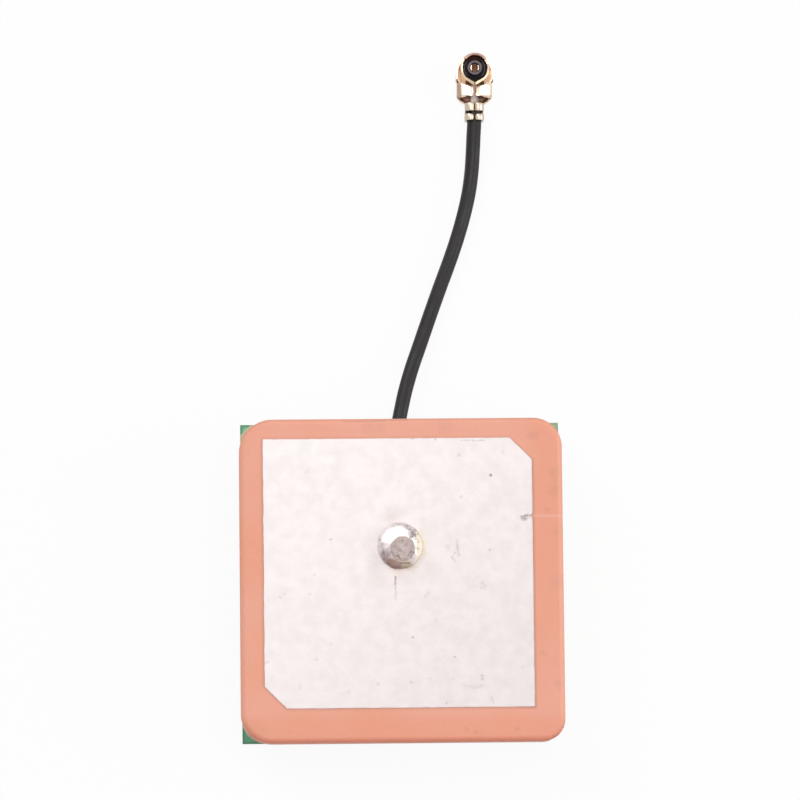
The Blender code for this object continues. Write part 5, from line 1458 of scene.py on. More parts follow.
MOULDED_WORN = (0.030, 0.023, 0.027)
PAINTED_HIGHLIGHT_GREY = (0.19, 0.155, 0.172)
GOLD_REFLECTION_DARK = (0.105, 0.030, 0.022)

moulded_black, tree, shader = new_finish("moulded_black_insulator", 0.55, specular=0.2)
place = place_in_mm(tree)
grains = speckle(tree, place, 12.0, 4.0, 0.6)
across, along, height = about_plug(tree, place)
boss = spot(tree, place, PLUG_MIDDLE, BOSS_RADIUS / MM, 0.03)
# Painted highlight: the boss's top rim and the ring's crest at both sides are painted grey.
boss_highlight = product(tree, boss, ramp(tree, height, *BOSS_LEVELS))
ring_foot, ring_crest = FLOOR_HEIGHT + RING_HEIGHT / 3, FLOOR_HEIGHT + RING_HEIGHT
ring_highlight = ramp(tree, height, ring_foot / MM, ring_crest / MM, 0.0, 0.55)
ring_highlight = product(tree, ring_highlight, ramp(tree, maths(tree, "ABSOLUTE", across), *CLEAR_OF_AXIS))
black = tint(tree, ramp(tree, grains, 0.45, 0.75, 0.0, 0.5), MOULDED_BLACK, MOULDED_WORN)
# Painted reflection: under the nose the black floor is painted a dark gold.
black = tint(tree, ramp(tree, along, *UNDER_NOSE, 0.0, 0.9), black, GOLD_REFLECTION_DARK)
black = tint(tree, maths(tree, "MAXIMUM", boss_highlight, ring_highlight), black, PAINTED_HIGHLIGHT_GREY)
fill(tree, shader, {"Base Color": black, "Roughness": ramp(tree, grains, 0.3, 0.7, 0.48, 0.64)})
relief(tree, shader, grains, 0.006 * MM)


def socket_half():
    """Inner face of the socket wall in plan, from the nose round one side to where the lips leave it."""
    lip_turn = math.pi - math.acos(SOCKET_RADIUS / SOCKET_REACH)
    turns = [NOTCH_START * i / NOSE_STEPS for i in range(NOSE_STEPS)]
    turns += [NOTCH_START + (NOTCH_END - NOTCH_START) * i / NOTCH_STEPS for i in range(NOTCH_STEPS)]
    turns += [NOTCH_END + (lip_turn - NOTCH_END) * i / SIDE_STEPS for i in range(SIDE_STEPS + 1)]
    outline = []
    for turn in turns:
        share = max(0.0, (turn - BULGE_START) / (lip_turn - BULGE_START))
        radius = SOCKET_RADIUS + BACK_BULGE * share * share * (3 - 2 * share)
        outline.append((radius * math.sin(turn), radius * math.cos(turn)))
    return outline


half = socket_half() + [(0.0, -SOCKET_REACH)]
foot_outline = half + [(-x, y) for x, y in reversed(half[1:-1])]
foot_rings = []
for z, inset in ((SHEET + FIT, FIT), (FLOOR_HEIGHT - FLOOR_EDGE, FIT), (FLOOR_HEIGHT, FIT + FLOOR_EDGE)):
    foot_rings.append(at_height(drawn_in(foot_outline, SOCKET_MIDDLE, SOCKET_RADIUS, inset), z))
insulator = loft("moulded_plug_insulator", foot_rings, moulded_black)
boss_profile = [(0.0, FLOOR_HEIGHT - SHEET), (BOSS_RADIUS, FLOOR_HEIGHT - SHEET)]
rim = (BOSS_RADIUS - BOSS_EDGE, BOSS_HEIGHT - BOSS_EDGE)
boss_profile += arc(rim, BOSS_EDGE, 0.0, math.pi / 2, EDGE_STEPS) + [(0.0, BOSS_HEIGHT)]
insulator = join_shapes(insulator, turned("boss", boss_profile, moulded_black), "UNION")
ring_middle = sum(RING_RADII) / 2
ring_half = (RING_RADII[1] - RING_RADII[0]) / 2
ring_profile = [(RING_RADII[0], FLOOR_HEIGHT - SHEET), (RING_RADII[1], FLOOR_HEIGHT - SHEET)]
ring_centre = (ring_middle, FLOOR_HEIGHT + RING_HEIGHT - ring_half)
ring_profile += arc(ring_centre, ring_half, 0.0, math.pi, EDGE_STEPS)
insulator = join_shapes(insulator, turned("centring_ring", ring_profile, moulded_black), "UNION")
bore_radius = CONTACT_RADIUS + FIT
bore_profile = [
    (0.0, CONTACT_BOTTOM - FIT),
    (bore_radius, CONTACT_BOTTOM - FIT),
    (bore_radius, BOSS_HEIGHT - BOSS_MOUTH),
    (bore_radius + BOSS_MOUTH, BOSS_HEIGHT),
    (bore_radius + BOSS_MOUTH, BOSS_HEIGHT + MM),
    (0.0, BOSS_HEIGHT + MM),
]
insulator = join_shapes(insulator, turned("contact_bore", bore_profile, moulded_black), "DIFFERENCE")
passage = box_block(
    "leg_passage",
    LEG_HALF_WIDTH + FIT,
    (0.0, -SOCKET_REACH - MM),
    (LEG_LEVELS[0] - FIT, PLUG_AXIS + WIRE_RADIUS + FIT),
    moulded_black,
)
insulator = settled(join_shapes(insulator, passage, "DIFFERENCE"), PLUG_PLACE)
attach(insulator, "root")
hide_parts("plug_insulator")

# Plug shell. One blank of copper alloy 0.15 mm thick, plated with gold and folded in a press: a back with two
# arms, a box closed by two flaps, a neck, and two pairs of wings that are rolled onto the lead. The round
# socket wall is bent from the same blank, notched at both sides and drawn into lips behind.
SOCKET_HEIGHT = 1.9 * MM
SEAM_HALF = 0.04 * MM
MOUTH_FLARE = 0.06 * MM  # of the wall outwards, but at the nose
LIP_FLARE = 0.05 * MM  # by which the lips behind flare out further
MOUTH_HEIGHT = 0.07 * MM
SNAP_BEAD = 0.04 * MM
NOSE_BEAD = 0.05 * MM  # by which the bead reaches further in at the nose
SNAP_HEIGHT = 0.3 * MM
NOTCH_DEPTH = 0.8 * MM
DOORWAY_HALF_WIDTH = 0.42 * MM
DOORWAY_HEIGHT = 1.2 * MM
ARM_HALF_WIDTH = 1.34 * MM
ARM_HEIGHT = 1.45 * MM
ARM_START = math.radians(42)
ARM_KNEE = 0.12 * MM
ARM_WAIST = -0.45 * MM
ARM_END = -0.90 * MM
BOX_START = -1.20 * MM
BOX_HALF_WIDTH = 1.23 * MM
BOX_HEIGHT = 1.45 * MM
BOX_BEND = 0.3 * MM
FLAP_FRONT = -1.30 * MM
FLAP_REAR = -2.22 * MM
FLAP_SEAM = 0.34 * MM
FLAP_RAKE = 0.24 * MM
FLAP_DIP = 0.09 * MM  # of the flaps at their seam
WEB_OUTLINE = (  # x and y in mm in the arm, and then in the socket wall or along the flap's front edge
    (1.22, 0.14, 1.12, 0.14),
    (1.33, -0.10, 1.12, -0.11),
    (1.38, -0.35, 1.10, -0.35),
    (1.40, -0.60, 1.03, -0.60),
    (1.39, -0.86, 0.90, -0.80),
    (1.34, -1.06, 0.73, -0.99),
    (1.29, -1.20, 0.73, -1.12),
    (1.29, -1.30, 0.76, -1.26),
    (1.29, -1.42, 0.78, -1.38),
)
WEB_HEIGHTS = (1.42 * MM, 1.26 * MM)  # in the arm and in the wall
NECK_MIDDLE = -2.48 * MM
NECK_HALF_WIDTH = 1.02 * MM
NECK_BEND = 0.35 * MM
NECK_WALL_TOP = 0.62 * MM
BRAID_CRIMP = (-2.82 * MM, -3.38 * MM)
BRAID_CRIMP_HALF_WIDTH = 0.6 * MM
BRAID_CRIMP_CORE = 0.42 * MM
JACKET_CRIMP = (-3.72 * MM, -4.16 * MM)
JACKET_CRIMP_HALF_WIDTH = 0.62 * MM
BRAID_CRIMP_SEAM = 0.012 * MM
JACKET_CRIMP_SEAM = 0.06 * MM
WING_ROUNDING = 0.16 * MM  # of the jacket wings' corners at their seam
CRIMP_CURL = 0.12 * MM
CRIMP_TAPER = 0.025 * MM  # of a crimp towards its two mouths
BACK_COLUMNS = 3
BEND_COLUMNS = 7
WING_COLUMNS = 6
WALL_FOOT = BACK_COLUMNS + BEND_COLUMNS
WALL_TOP = WALL_FOOT + 2
WING_EDGE = WALL_TOP + BEND_COLUMNS + WING_COLUMNS
WING_RUN = WING_EDGE - WALL_TOP
SHEET_ROUNDING = 0.016 * MM


def thick_sheet(name, rows, covered):
    """Sheet metal on a grid of points. covered(row, column) says where it has metal. It thickens outwards."""
    bm = bmesh.new()
    grid = {}
    for row in range(len(rows) - 1):
        for column in range(len(rows[row]) - 1):
            if not covered(row, column):
                continue
            corners = [(row, column), (row, column + 1), (row + 1, column + 1), (row + 1, column)]
            for corner in corners:
                if corner not in grid:
                    grid[corner] = bm.verts.new(rows[corner[0]][corner[1]])
            bm.faces.new([grid[corner] for corner in corners])
    mesh = bpy.data.meshes.new(name)
    bm.to_mesh(mesh)
    bm.free()
    mesh.materials.append(pale_gold)
    sheet = shown(name, mesh)
    solid = sheet.modifiers.new("sheet", "SOLIDIFY")
    solid.thickness = SHEET
    solid.offset = 1.0
    solid.use_even_offset = True
    rounding = sheet.modifiers.new("rounding", "BEVEL")
    rounding.width = SHEET_ROUNDING
    rounding.segments = 2
    rounding.angle_limit = math.radians(60)
    rounding.loop_slide = False
    return settled(sheet)


def trough(half_width, floor, bend, wall_top):
    """Inner face of half a section, from the middle of the back to the top of the wall."""
    section = [((half_width - bend) * i / BACK_COLUMNS, floor) for i in range(BACK_COLUMNS + 1)]
    section += arc((half_width - bend, floor + bend), bend, -math.pi / 2, 0.0, BEND_COLUMNS)[1:]
    return section + [(half_width, (floor + bend + wall_top) / 2), (half_width, wall_top)]


def padded(section):
    """The section with its last point repeated, so that all sections have as many points."""
    return section + [section[-1]] * (WING_EDGE + 1 - len(section))


def wrapped(half_width, floor, bend, roof, roof_bend, wing):
    """Half a section whose wing is bent over at the roof, and then runs on through the wing's points."""
    section = trough(half_width, floor, bend, roof - roof_bend)
    centre = (half_width - roof_bend, roof - roof_bend)
    return section + arc(centre, roof_bend, 0.0, math.pi / 2, BEND_COLUMNS)[1:] + wing


def box_section():
    roof = BOX_HEIGHT - SHEET
    start, end = BOX_HALF_WIDTH - BOX_BEND, FLAP_SEAM / 2
    shares = [i / WING_COLUMNS for i in range(1, WING_COLUMNS + 1)]
    wing = [(start + (end - start) * share, roof - FLAP_DIP * share ** 4) for share in shares]
    return wrapped(BOX_HALF_WIDTH, SHEET, SHEET, roof, BOX_BEND, wing)


def crimp_section(half_width, core, seam):
    """A barrel rolled round a core of that half height, whose wings curl down into each other at the seam."""
    floor = max(SHEET, PLUG_AXIS - core - FIT)
    roof = PLUG_AXIS + core + FIT + CRIMP_CURL
    edge = SHEET + seam / 2
    curl = arc((edge + CRIMP_CURL, roof - CRIMP_CURL), CRIMP_CURL, math.pi / 2, math.pi, WING_COLUMNS)[1:]
    bend = half_width - edge - CRIMP_CURL
    return wrapped(half_width, floor, bend, roof, bend, curl)


def run_between(start, end, steps, reach):
    """Stations that ease from one (place, section) to the next, with the last one left to what follows."""
    (start_y, start_section), (end_y, end_section) = start, end
    made = []
    for i in range(steps):
        share = i / steps
        eased = share * share * (3 - 2 * share)
        section = [
            (x0 + (x1 - x0) * eased, z0 + (z1 - z0) * eased)
            for (x0, z0), (x1, z1) in zip(padded(start_section), padded(end_section))
        ]
        made.append((start_y + (end_y - start_y) * share, section, reach))
    return made


def rolled_stations(ends, half_width, core, seam, reach):
    """A crimp, a little narrower at its two mouths."""
    made = []
    for share in (0.0, 0.06, 0.14, 0.26, 0.5, 0.74, 0.86, 0.94, 1.0):
        taper = CRIMP_TAPER * abs(share - 0.5) ** 3 * 8
        y = ends[0] + (ends[1] - ends[0]) * share
        made.append((y, crimp_section(half_width - taper, core - taper, seam), WING_EDGE))
    return made[:-1] + [(made[-1][0], made[-1][1], reach)]


nose = SOCKET_RADIUS + SHEET / 2
stations = []
for i in range(2, 8):
    turn = ARM_START * i / 8
    nose_section = trough(nose * math.sin(turn), SHEET, SHEET, ARM_HEIGHT)
    stations.append((nose * math.cos(turn), nose_section, BACK_COLUMNS))
arm_start = Vector((nose * math.sin(ARM_START), nose * math.cos(ARM_START)))
knee = Vector((ARM_HALF_WIDTH, ARM_KNEE))
waist = Vector((ARM_HALF_WIDTH, ARM_WAIST))
for i in range(10):
    turned_place = arm_start.lerp(knee, i / 10).lerp(knee.lerp(waist, i / 10), i / 10)
    stations.append((turned_place.y, trough(turned_place.x, SHEET, SHEET, ARM_HEIGHT), WALL_TOP))
arm = trough(ARM_HALF_WIDTH, SHEET, SHEET, ARM_HEIGHT)
box_wall = trough(BOX_HALF_WIDTH, SHEET, SHEET, BOX_HEIGHT - SHEET - BOX_BEND)
neck = trough(NECK_HALF_WIDTH, SHEET, NECK_BEND, NECK_WALL_TOP)
braid_mouth = (BRAID_CRIMP_HALF_WIDTH - CRIMP_TAPER, BRAID_CRIMP_CORE - CRIMP_TAPER, BRAID_CRIMP_SEAM)
jacket_mouth = (JACKET_CRIMP_HALF_WIDTH - CRIMP_TAPER, JACKET_RADIUS - CRIMP_TAPER, JACKET_CRIMP_SEAM)
braid_barrel = crimp_section(*braid_mouth)
jacket_barrel = crimp_section(*jacket_mouth)
stations += run_between((ARM_WAIST, arm), (ARM_END, arm), 3, WALL_TOP)
stations += run_between((ARM_END, arm), (BOX_START, box_wall), 8, WALL_TOP)
stations += run_between((BOX_START, box_wall), (FLAP_FRONT, box_section()), 2, WALL_TOP)
stations += run_between((FLAP_FRONT, box_section()), (FLAP_REAR, box_section()), 8, WING_EDGE)
stations += run_between((FLAP_REAR, box_section()[:WALL_TOP + 1]), (NECK_MIDDLE, neck), 5, WALL_TOP)
stations += run_between((NECK_MIDDLE, neck), (BRAID_CRIMP[0], braid_barrel[:WALL_TOP + 1]), 6, WALL_TOP)
braid_wings = (BRAID_CRIMP_HALF_WIDTH, BRAID_CRIMP_CORE, BRAID_CRIMP_SEAM)
stations += rolled_stations(BRAID_CRIMP, *braid_wings, WALL_FOOT)
stations += run_between((BRAID_CRIMP[1], braid_barrel), (JACKET_CRIMP[0], jacket_barrel), 3, WALL_FOOT)[1:]
jacket_wings = (JACKET_CRIMP_HALF_WIDTH, JACKET_RADIUS, JACKET_CRIMP_SEAM)
stations += rolled_stations(JACKET_CRIMP, *jacket_wings, WING_EDGE)

sheet_rows = []
for y, section, reach in stations:
    half = padded(section)
    row = []
    for column in range(-WING_EDGE, WING_EDGE + 1):
        x, z = half[abs(column)]
        wing_share = max(0, abs(column) - WALL_TOP - BEND_COLUMNS) / WING_COLUMNS
        length_share = (FLAP_REAR - y) / (FLAP_REAR - FLAP_FRONT)
        on_flap = FLAP_REAR <= y <= FLAP_FRONT
        rake = FLAP_RAKE * wing_share * length_share if on_flap else 0.0
        if y <= JACKET_CRIMP[0]:
            from_middle = (y - sum(JACKET_CRIMP) / 2) / (JACKET_CRIMP[0] - JACKET_CRIMP[1])
            rake = 2 * from_middle * WING_ROUNDING * max(0.0, abs(column) - WALL_TOP) ** 3 / WING_RUN ** 3
        row.append((math.copysign(x, column), y - rake, z))
    sheet_rows.append(row)
reaches = [reach for y, section, reach in stations]


def folded_metal(row, column):
    outer = max(abs(column - WING_EDGE), abs(column + 1 - WING_EDGE))
    return outer <= reaches[row]


shell = thick_sheet("folded_plug_shell", sheet_rows, folded_metal)
for side in (-1, 1):
    web_rings = []
    for arm_x, arm_y, wall_x, wall_y in WEB_OUTLINE:
        at_arm, at_wall = (arm_x * MM * side, arm_y * MM), (wall_x * MM * side, wall_y * MM)
        arm_z, wall_z = WEB_HEIGHTS
        web_rings.append([
            (*at_arm, arm_z - SHEET), (*at_arm, arm_z), (*at_wall, wall_z), (*at_wall, wall_z - SHEET)
        ])
    shell = join_shapes(shell, loft("shoulder_web", web_rings, pale_gold), "UNION")

round_half = socket_half()
slope = (round_half[-1][1] + SOCKET_REACH) / round_half[-1][0]
lip_half = round_half + [(x, -SOCKET_REACH + slope * x) for x in (DOORWAY_HALF_WIDTH, SEAM_HALF)]
wall_outline = [(-x, y) for x, y in reversed(lip_half[1:])] + lip_half
notch_bottom = SOCKET_HEIGHT - NOTCH_DEPTH
mouth_steps, bead_steps = 3, 6
wall_levels = [SOCKET_HEIGHT - MOUTH_HEIGHT * i / mouth_steps for i in range(mouth_steps)]
bead_top = SOCKET_HEIGHT - MOUTH_HEIGHT
wall_levels += [bead_top - (SNAP_HEIGHT - MOUTH_HEIGHT) * i / bead_steps for i in range(bead_steps + 1)]
wall_levels += [DOORWAY_HEIGHT, notch_bottom, SHEET / 2]


def drawn_inwards(below_top, forward):
    """How far the wall leaves the round: out at its mouth, but not at the nose, and in at the bead below."""
    bead = SNAP_BEAD + NOSE_BEAD * max(0.0, forward)
    if below_top < MOUTH_HEIGHT:
        top = -MOUTH_FLARE * (1 - max(0.0, forward)) - LIP_FLARE * max(0.0, -forward)
        return top + (bead - top) * below_top / MOUTH_HEIGHT
    share = min(1.0, (below_top - MOUTH_HEIGHT) / (SNAP_HEIGHT - MOUTH_HEIGHT))
    return bead * (1 + math.cos(math.pi * share)) / 2


wall_rows = []
for z in wall_levels:
    row = []
    for x, y in wall_outline:
        share = 1 - drawn_inwards(SOCKET_HEIGHT - z, y / SOCKET_RADIUS) / SOCKET_RADIUS
        row.append((x * share, y * share, z))
    wall_rows.append(row)
nose_column = len(lip_half) - 1


def wall_metal(row, column):
    """Metal all round, but for the two notches, and the doorway under the lips where the leg comes out."""
    step = max(abs(column - nose_column), abs(column + 1 - nose_column))
    level = wall_levels[row]
    in_notch = NOSE_STEPS < step <= NOSE_STEPS + NOTCH_STEPS and level > notch_bottom
    in_doorway = step == nose_column and level <= DOORWAY_HEIGHT
    return not in_notch and not in_doorway


shell = join_shapes(shell, thick_sheet("socket_wall", wall_rows, wall_metal), "UNION")
shell = settled(shell, PLUG_PLACE)
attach(shell, "root")
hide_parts("plug_shell")

# Stripped ends of the lead. Under the jacket lies a braid of fine tinned wires, plaited both ways round the
# dielectric. At the board it is soldered down flat. In the plug it is squeezed oval under the middle wings.
BRAID_RADIUS = 0.46 * MM
BRAID_CARRIERS = 8
BRAID_WIRES = 4
BRAID_WIRE_RADIUS = 0.022 * MM
BRAID_PITCH = 4.2 * MM
BRAID_WEAVE = 0.022 * MM
BRAID_BOARD_END = Vector((-0.31, 9.09, 1.825)) * MM
BRAID_BOARD_LENGTH = 1.2 * MM
BRAID_PLUG_ENDS = (-3.55 * MM, -2.70 * MM)
BRAID_SQUEEZED = 0.57 * MM  # half its width under the middle wings
PLUG_END = (-10.9, -9.9)  # mm from the socket, between the lead's one end and the other
BEHIND_CRIMP = (-3.32, -3.42)
SOILED_AND_SHADED_BLACK = (0.035, 0.022, 0.024)  # of the braid's bare bit between the crimps: dirt and painted shade
WAX_SIDES = (-0.10, 0.12)  # mm across the plug, from its lit cream side to its shaded mauve one
WAX_LIT_CREAM = (0.86, 0.72, 0.58)
WAX_SHADED_MAUVE = (0.42, 0.28, 0.33)

tinned_braid, tree, shader = new_finish("tinned_braid", 0.32, metallic=1.0)
place = place_in_mm(tree)
mottle = speckle(tree, place, 9.0, 4.0, 0.6)
braid_colour = mottled(tree, mottle, (0.46, 0.43, 0.41), (0.27, 0.24, 0.225))
along = about_plug(tree, place)["Y"]
# Partly painted shade, partly dirt: the braid's bare bit between the crimps is painted near black.
soiled_and_shaded = product(tree, ramp(tree, along, *BEHIND_CRIMP, 0.0, 0.9), ramp(tree, along, *PLUG_END))
fill(tree, shader, {"Base Color": tint(tree, soiled_and_shaded, braid_colour, SOILED_AND_SHADED_BLACK)})
relief(tree, shader, mottle, 0.004 * MM)

braid_sizes = ("Length", "Radius", "Wire Radius", "Pitch", "Weave")
braid_tree, given = shape_tree("braided_sleeve", braid_sizes, ("Carriers", "Wires"))


def braid_maths(operation, first, second=0.0):
    return maths(braid_tree, operation, first, second)


turns = braid_maths("DIVIDE", given["Length"], given["Pitch"])
wire_reach = braid_maths("ADD", given["Wire Radius"], given["Weave"])
lay_radius = braid_maths("SUBTRACT", given["Radius"], wire_reach)
wire_count = braid_maths("MULTIPLY", given["Carriers"], given["Wires"])
starts = shaped(braid_tree, "Points", {"Count": wire_count})
index = shaped(braid_tree, "InputIndex")
carrier = braid_maths("FLOOR", braid_maths("DIVIDE", index, given["Wires"]))
wire_in_carrier = braid_maths("SUBTRACT", index, braid_maths("MULTIPLY", carrier, given["Wires"]))
carrier_turn = braid_maths("DIVIDE", braid_maths("MULTIPLY", carrier, 2 * math.pi), given["Carriers"])
wire_turn = braid_maths("DIVIDE", braid_maths("MULTIPLY", given["Wire Radius"], 2.5), given["Radius"])
start_turn = braid_maths("ADD", carrier_turn, braid_maths("MULTIPLY", wire_in_carrier, wire_turn))
turned_start = add_node(braid_tree, "ShaderNodeCombineXYZ", {"Z": start_turn}).outputs[0]
wire_section = shaped(braid_tree, "CurvePrimitiveCircle", {"Resolution": 6, "Radius": given["Wire Radius"]})
place_on_braid = shaped(braid_tree, "InputPosition")
height_on_braid = axes_of(braid_tree, place_on_braid)["Z"]
outward = vector_maths(braid_tree, "NORMALIZE", flattened(braid_tree, place_on_braid))
crossings = braid_maths("DIVIDE", braid_maths("MULTIPLY", height_on_braid, given["Carriers"]), given["Pitch"])
wave = braid_maths("COSINE", braid_maths("MULTIPLY", crossings, 2 * math.pi))
woven = []
for backwards in (False, True):
    helix_sizes = {"Start Radius": lay_radius, "End Radius": lay_radius, "Height": given["Length"]}
    helix_turns = {"Resolution": 64, "Rotations": turns, "Reverse": backwards}
    helix = shaped(braid_tree, "CurveSpiral", {**helix_sizes, **helix_turns})
    helix_places = {"Points": starts, "Instance": helix, "Rotation": turned_start}
    real = shaped(braid_tree, "RealizeInstances", {0: shaped(braid_tree, "InstanceOnPoints", helix_places)})
    lift = product(braid_tree, wave, given["Weave"], -1.0 if backwards else 1.0)
    shift = scaled(braid_tree, outward, lift)
    lifted = shaped(braid_tree, "SetPosition", {"Geometry": real, "Offset": shift})
    wire_inputs = {"Curve": lifted, "Profile Curve": wire_section, "Fill Caps": True}
    woven.append(shaped(braid_tree, "CurveToMesh", wire_inputs))
core_radius = braid_maths("SUBTRACT", lay_radius, wire_reach)
core_sizes = {"Vertices": 32, "Radius": core_radius, "Depth": given["Length"]}
half_height = braid_maths("DIVIDE", given["Length"], 2.0)
core_shift = add_node(braid_tree, "ShaderNodeCombineXYZ", {"Z": half_height}).outputs[0]
core = shaped(braid_tree, "MeshCylinder", core_sizes)
core = shaped(braid_tree, "Transform", {"Geometry": core, "Translation": core_shift})
joined = add_node(braid_tree, "GeometryNodeJoinGeometry")
for part in (*woven, core):
    braid_tree.links.new(part, joined.inputs[0])
finish_tree(braid_tree, given, joined.outputs[0])


def braid_piece(name, length):
    """A sleeve of braid that stands on the origin."""
    sizes = {
        "Length": length,
        "Radius": BRAID_RADIUS,
        "Carriers": BRAID_CARRIERS,
        "Wires": BRAID_WIRES,
        "Wire Radius": BRAID_WIRE_RADIUS,
        "Pitch": BRAID_PITCH,
        "Weave": BRAID_WEAVE,
        "Finish": tinned_braid,
    }
    return grown(empty_shape(name), braid_tree, sizes)


board_braid = braid_piece("braid_soldered_at_board", BRAID_BOARD_LENGTH)
board_braid.data.transform(Matrix.Translation(BRAID_BOARD_END) @ Matrix.Rotation(math.pi / 2, 4, "X"))
plug_braid = braid_piece("braid_crimped_in_plug", BRAID_PLUG_ENDS[1] - BRAID_PLUG_ENDS[0])
squeezed_height = BRAID_CRIMP_CORE / BRAID_RADIUS
squeezed = {  # shares of its width and height that are left, by the height along the standing sleeve
    0.0: (1.0, 1.0),
    BRAID_CRIMP[1] - BRAID_PLUG_ENDS[0]: (BRAID_SQUEEZED / BRAID_RADIUS, squeezed_height),
    BRAID_CRIMP[0] - BRAID_PLUG_ENDS[0]: (BRAID_SQUEEZED / BRAID_RADIUS, squeezed_height),
    BRAID_PLUG_ENDS[1] - BRAID_PLUG_ENDS[0]: (1.0, squeezed_height),
}
squeeze_places = sorted(squeezed)
for vert in plug_braid.data.vertices:
    for near, far in zip(squeeze_places, squeeze_places[1:]):
        if vert.co.z <= far + MERGE or far == squeeze_places[-1]:
            share = min(1.0, max(0.0, (vert.co.z - near) / (far - near)))
            vert.co.x *= squeezed[near][0] + (squeezed[far][0] - squeezed[near][0]) * share
            vert.co.y *= squeezed[near][1] + (squeezed[far][1] - squeezed[near][1]) * share
            break
laid = Matrix.Translation((0.0, BRAID_PLUG_ENDS[0], PLUG_AXIS)) @ Matrix.Rotation(-math.pi / 2, 4, "X")
plug_braid.data.transform(PLUG_PLACE @ laid)
for braid, node_name in ((board_braid, "braid_at_board"), (plug_braid, "braid_at_plug")):
    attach(braid, "root")
    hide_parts(node_name)

waxy_white, tree, shader = new_finish("waxy_dielectric", 0.42, specular=0.4)
place = place_in_mm(tree)
mottle = speckle(tree, place, 5.0, 4.0)
wax = mottled(tree, mottle, (0.76, 0.67, 0.65), (0.62, 0.50, 0.48))
across, along = about_plug(tree, place)[:2]
# Painted light and shade: in the plug the dielectric is painted cream on its left and mauve on its right.
lit_and_shaded_wax = tint(tree, ramp(tree, across, *WAX_SIDES), WAX_LIT_CREAM, WAX_SHADED_MAUVE)
wax = tint(tree, ramp(tree, along, *PLUG_END, 0.0, 0.8), wax, lit_and_shaded_wax)
fill(tree, shader, {"Base Color": wax})
relief(tree, shader, mottle, 0.006 * MM)

bare_copper, tree, shader = new_finish("bare_copper_wire", 0.38, metallic=1.0)
mottle = speckle(tree, place_in_mm(tree), 8.0, 4.0)
fill(tree, shader, {"Base Color": mottled(tree, mottle, (0.56, 0.35, 0.25), (0.36, 0.21, 0.15))})
relief(tree, shader, mottle, 0.004 * MM)

for node_name in ("dielectric_at_board", "dielectric_at_plug"):
    dress(node_name, waxy_white)
for node_name in ("wire_at_board", "wire_at_plug"):
    dress(node_name, bare_copper)
for node_name in ("braid_solder", "wire_solder"):
    dress(node_name, bright_solder)

# Coaxial lead. Black fluoropolymer, 1.13 mm thick, extruded over the braid. It comes out of the can's notch,
# sinks to the table behind the board, lies on it in a loose bend, and rises a little into the plug. Its die
# has left soft streaks along it.
JACKET_DIAMETER = 1.13 * MM
JACKET_ROUTE = (  # mm
    (-0.31, 9.11, 1.825),
    (-0.29, 9.81, 1.825),
    (-0.26, 10.50, 1.800),
    (-0.08, 11.90, 1.700),
    (0.23, 13.50, 1.525),
    (0.62, 15.20, 1.275),
    (1.15, 17.00, 0.9875),
    (1.82, 18.90, 0.7375),
    (2.60, 21.10, 0.600),
    (3.42, 23.35, 0.575),
    (4.12, 25.20, 0.575),
    (4.76, 27.00, 0.575),
    (5.34, 28.90, 0.575),
    (5.80, 30.80, 0.5858),
    (6.07, 32.60, 0.6326),
    (6.20, 34.30, 0.7082),
    (6.26, 35.45, 0.7496),
    (6.3208, 36.3307, 0.755),
    (6.3377, 37.3005, 0.755),
)
JACKET_SIDES = 40
JACKET_RING_SPACING = 0.12 * MM
JACKET_UNEVENNESS = 0.012  # share of its radius
JACKET_BLACK = (0.0115, 0.0092, 0.0098)
JACKET_GREY = (0.032, 0.0265, 0.028)
JACKET_SHADED = (0.006, 0.0045, 0.005)  # near the plug, where painted shade darkens it
SHADED_STRETCH = (22.0, 28.0)  # mm along the jacket

black_jacket, tree, shader = new_finish("black_fluoropolymer", 0.4, specular=0.28)
lie = add_node(tree, "ShaderNodeAttribute", attribute_name="lie").outputs["Vector"]
streaks = speckle(tree, stretched(tree, lie, (0.16, 2.6, 2.6)), 1.0, 4.0, 0.6)
clouds = speckle(tree, lie, 0.5, 3.0, 0.6)
fine = speckle(tree, lie, 7.0, 4.0, 0.6)
black = tint(tree, ramp(tree, streaks, 0.42, 0.70), JACKET_BLACK, JACKET_GREY)
black = tint(tree, ramp(tree, clouds, 0.5, 0.75, 0.0, 0.5), black, JACKET_GREY)
# Painted shade: the jacket is painted darker near the plug.
black = tint(tree, ramp(tree, axes_of(tree, lie)["X"], *SHADED_STRETCH, 0.0, 0.35), black, JACKET_SHADED)
fill(tree, shader, {"Base Color": black, "Roughness": ramp(tree, clouds, 0.3, 0.7, 0.32, 0.50)})
relief(tree, shader, streaks, 0.012 * MM)
relief(tree, shader, fine, 0.005 * MM)

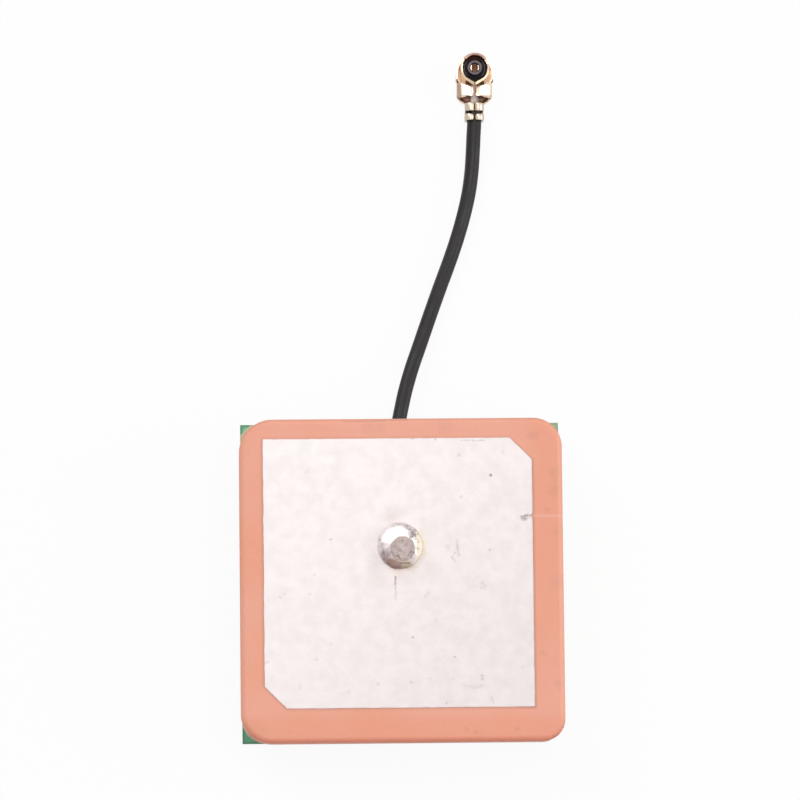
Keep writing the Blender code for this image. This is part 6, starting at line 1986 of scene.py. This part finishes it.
jacket_tree, given = shape_tree("extruded_jacket", ("Radius", "Ring Spacing", "Unevenness"), ("Sides",))
smooth_route = shaped(jacket_tree, "CurveSplineType", {"Curve": given["Shape"]}, spline_type="CATMULL_ROM")
smooth_route = shaped(jacket_tree, "SetSplineResolution", {"Geometry": smooth_route, "Resolution": 24})
spacing = {"Curve": smooth_route, "Length": given["Ring Spacing"]}
rings = shaped(jacket_tree, "ResampleCurve", spacing, mode="LENGTH")
along = add_node(jacket_tree, "GeometryNodeSplineParameter").outputs["Length"]
kept_along = add_node(jacket_tree, "GeometryNodeCaptureAttribute", {"Geometry": rings})
kept_along.capture_items.new("FLOAT", "along")
jacket_tree.links.new(along, kept_along.inputs[1])
wander_inputs = {"W": product(jacket_tree, along, 0.45 / MM), "Scale": 1.0}
wander = add_node(jacket_tree, "ShaderNodeTexNoise", wander_inputs, noise_dimensions="1D").outputs["Fac"]
wander = product(jacket_tree, maths(jacket_tree, "SUBTRACT", wander, 0.5), given["Unevenness"])
wandering_radius = {"Curve": kept_along.outputs[0], "Radius": maths(jacket_tree, "ADD", 1.0, wander)}
uneven = shaped(jacket_tree, "SetCurveRadius", wandering_radius)
section_sizes = {"Resolution": given["Sides"], "Radius": given["Radius"]}
section = shaped(jacket_tree, "CurvePrimitiveCircle", section_sizes)
kept_round = add_node(jacket_tree, "GeometryNodeCaptureAttribute", {"Geometry": section})
kept_round.capture_items.new("VECTOR", "round")
jacket_tree.links.new(shaped(jacket_tree, "InputPosition"), kept_round.inputs[1])
tube_inputs = {"Curve": uneven, "Profile Curve": kept_round.outputs[0], "Fill Caps": True}
tube = shaped(jacket_tree, "CurveToMesh", tube_inputs)
round_axes = axes_of(jacket_tree, kept_round.outputs[1])
lie_axes = {"X": kept_along.outputs[1], "Y": round_axes["X"], "Z": round_axes["Y"]}
lie = scaled(jacket_tree, add_node(jacket_tree, "ShaderNodeCombineXYZ", lie_axes).outputs[0], 1 / MM)
told = {"Geometry": tube, "Name": "lie", "Value": lie}
named = shaped(jacket_tree, "StoreNamedAttribute", told, data_type="FLOAT_VECTOR", domain="POINT")
finish_tree(jacket_tree, given, named)
jacket_sizes = {
    "Radius": JACKET_DIAMETER / 2,
    "Sides": JACKET_SIDES,
    "Ring Spacing": JACKET_RING_SPACING,
    "Unevenness": JACKET_UNEVENNESS,
    "Finish": black_jacket,
}
route = [Vector(point) * MM for point in JACKET_ROUTE]
jacket = grown(empty_shape("extruded_coax_jacket", route), jacket_tree, jacket_sizes)
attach(jacket, "root")
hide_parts("coax_jacket")
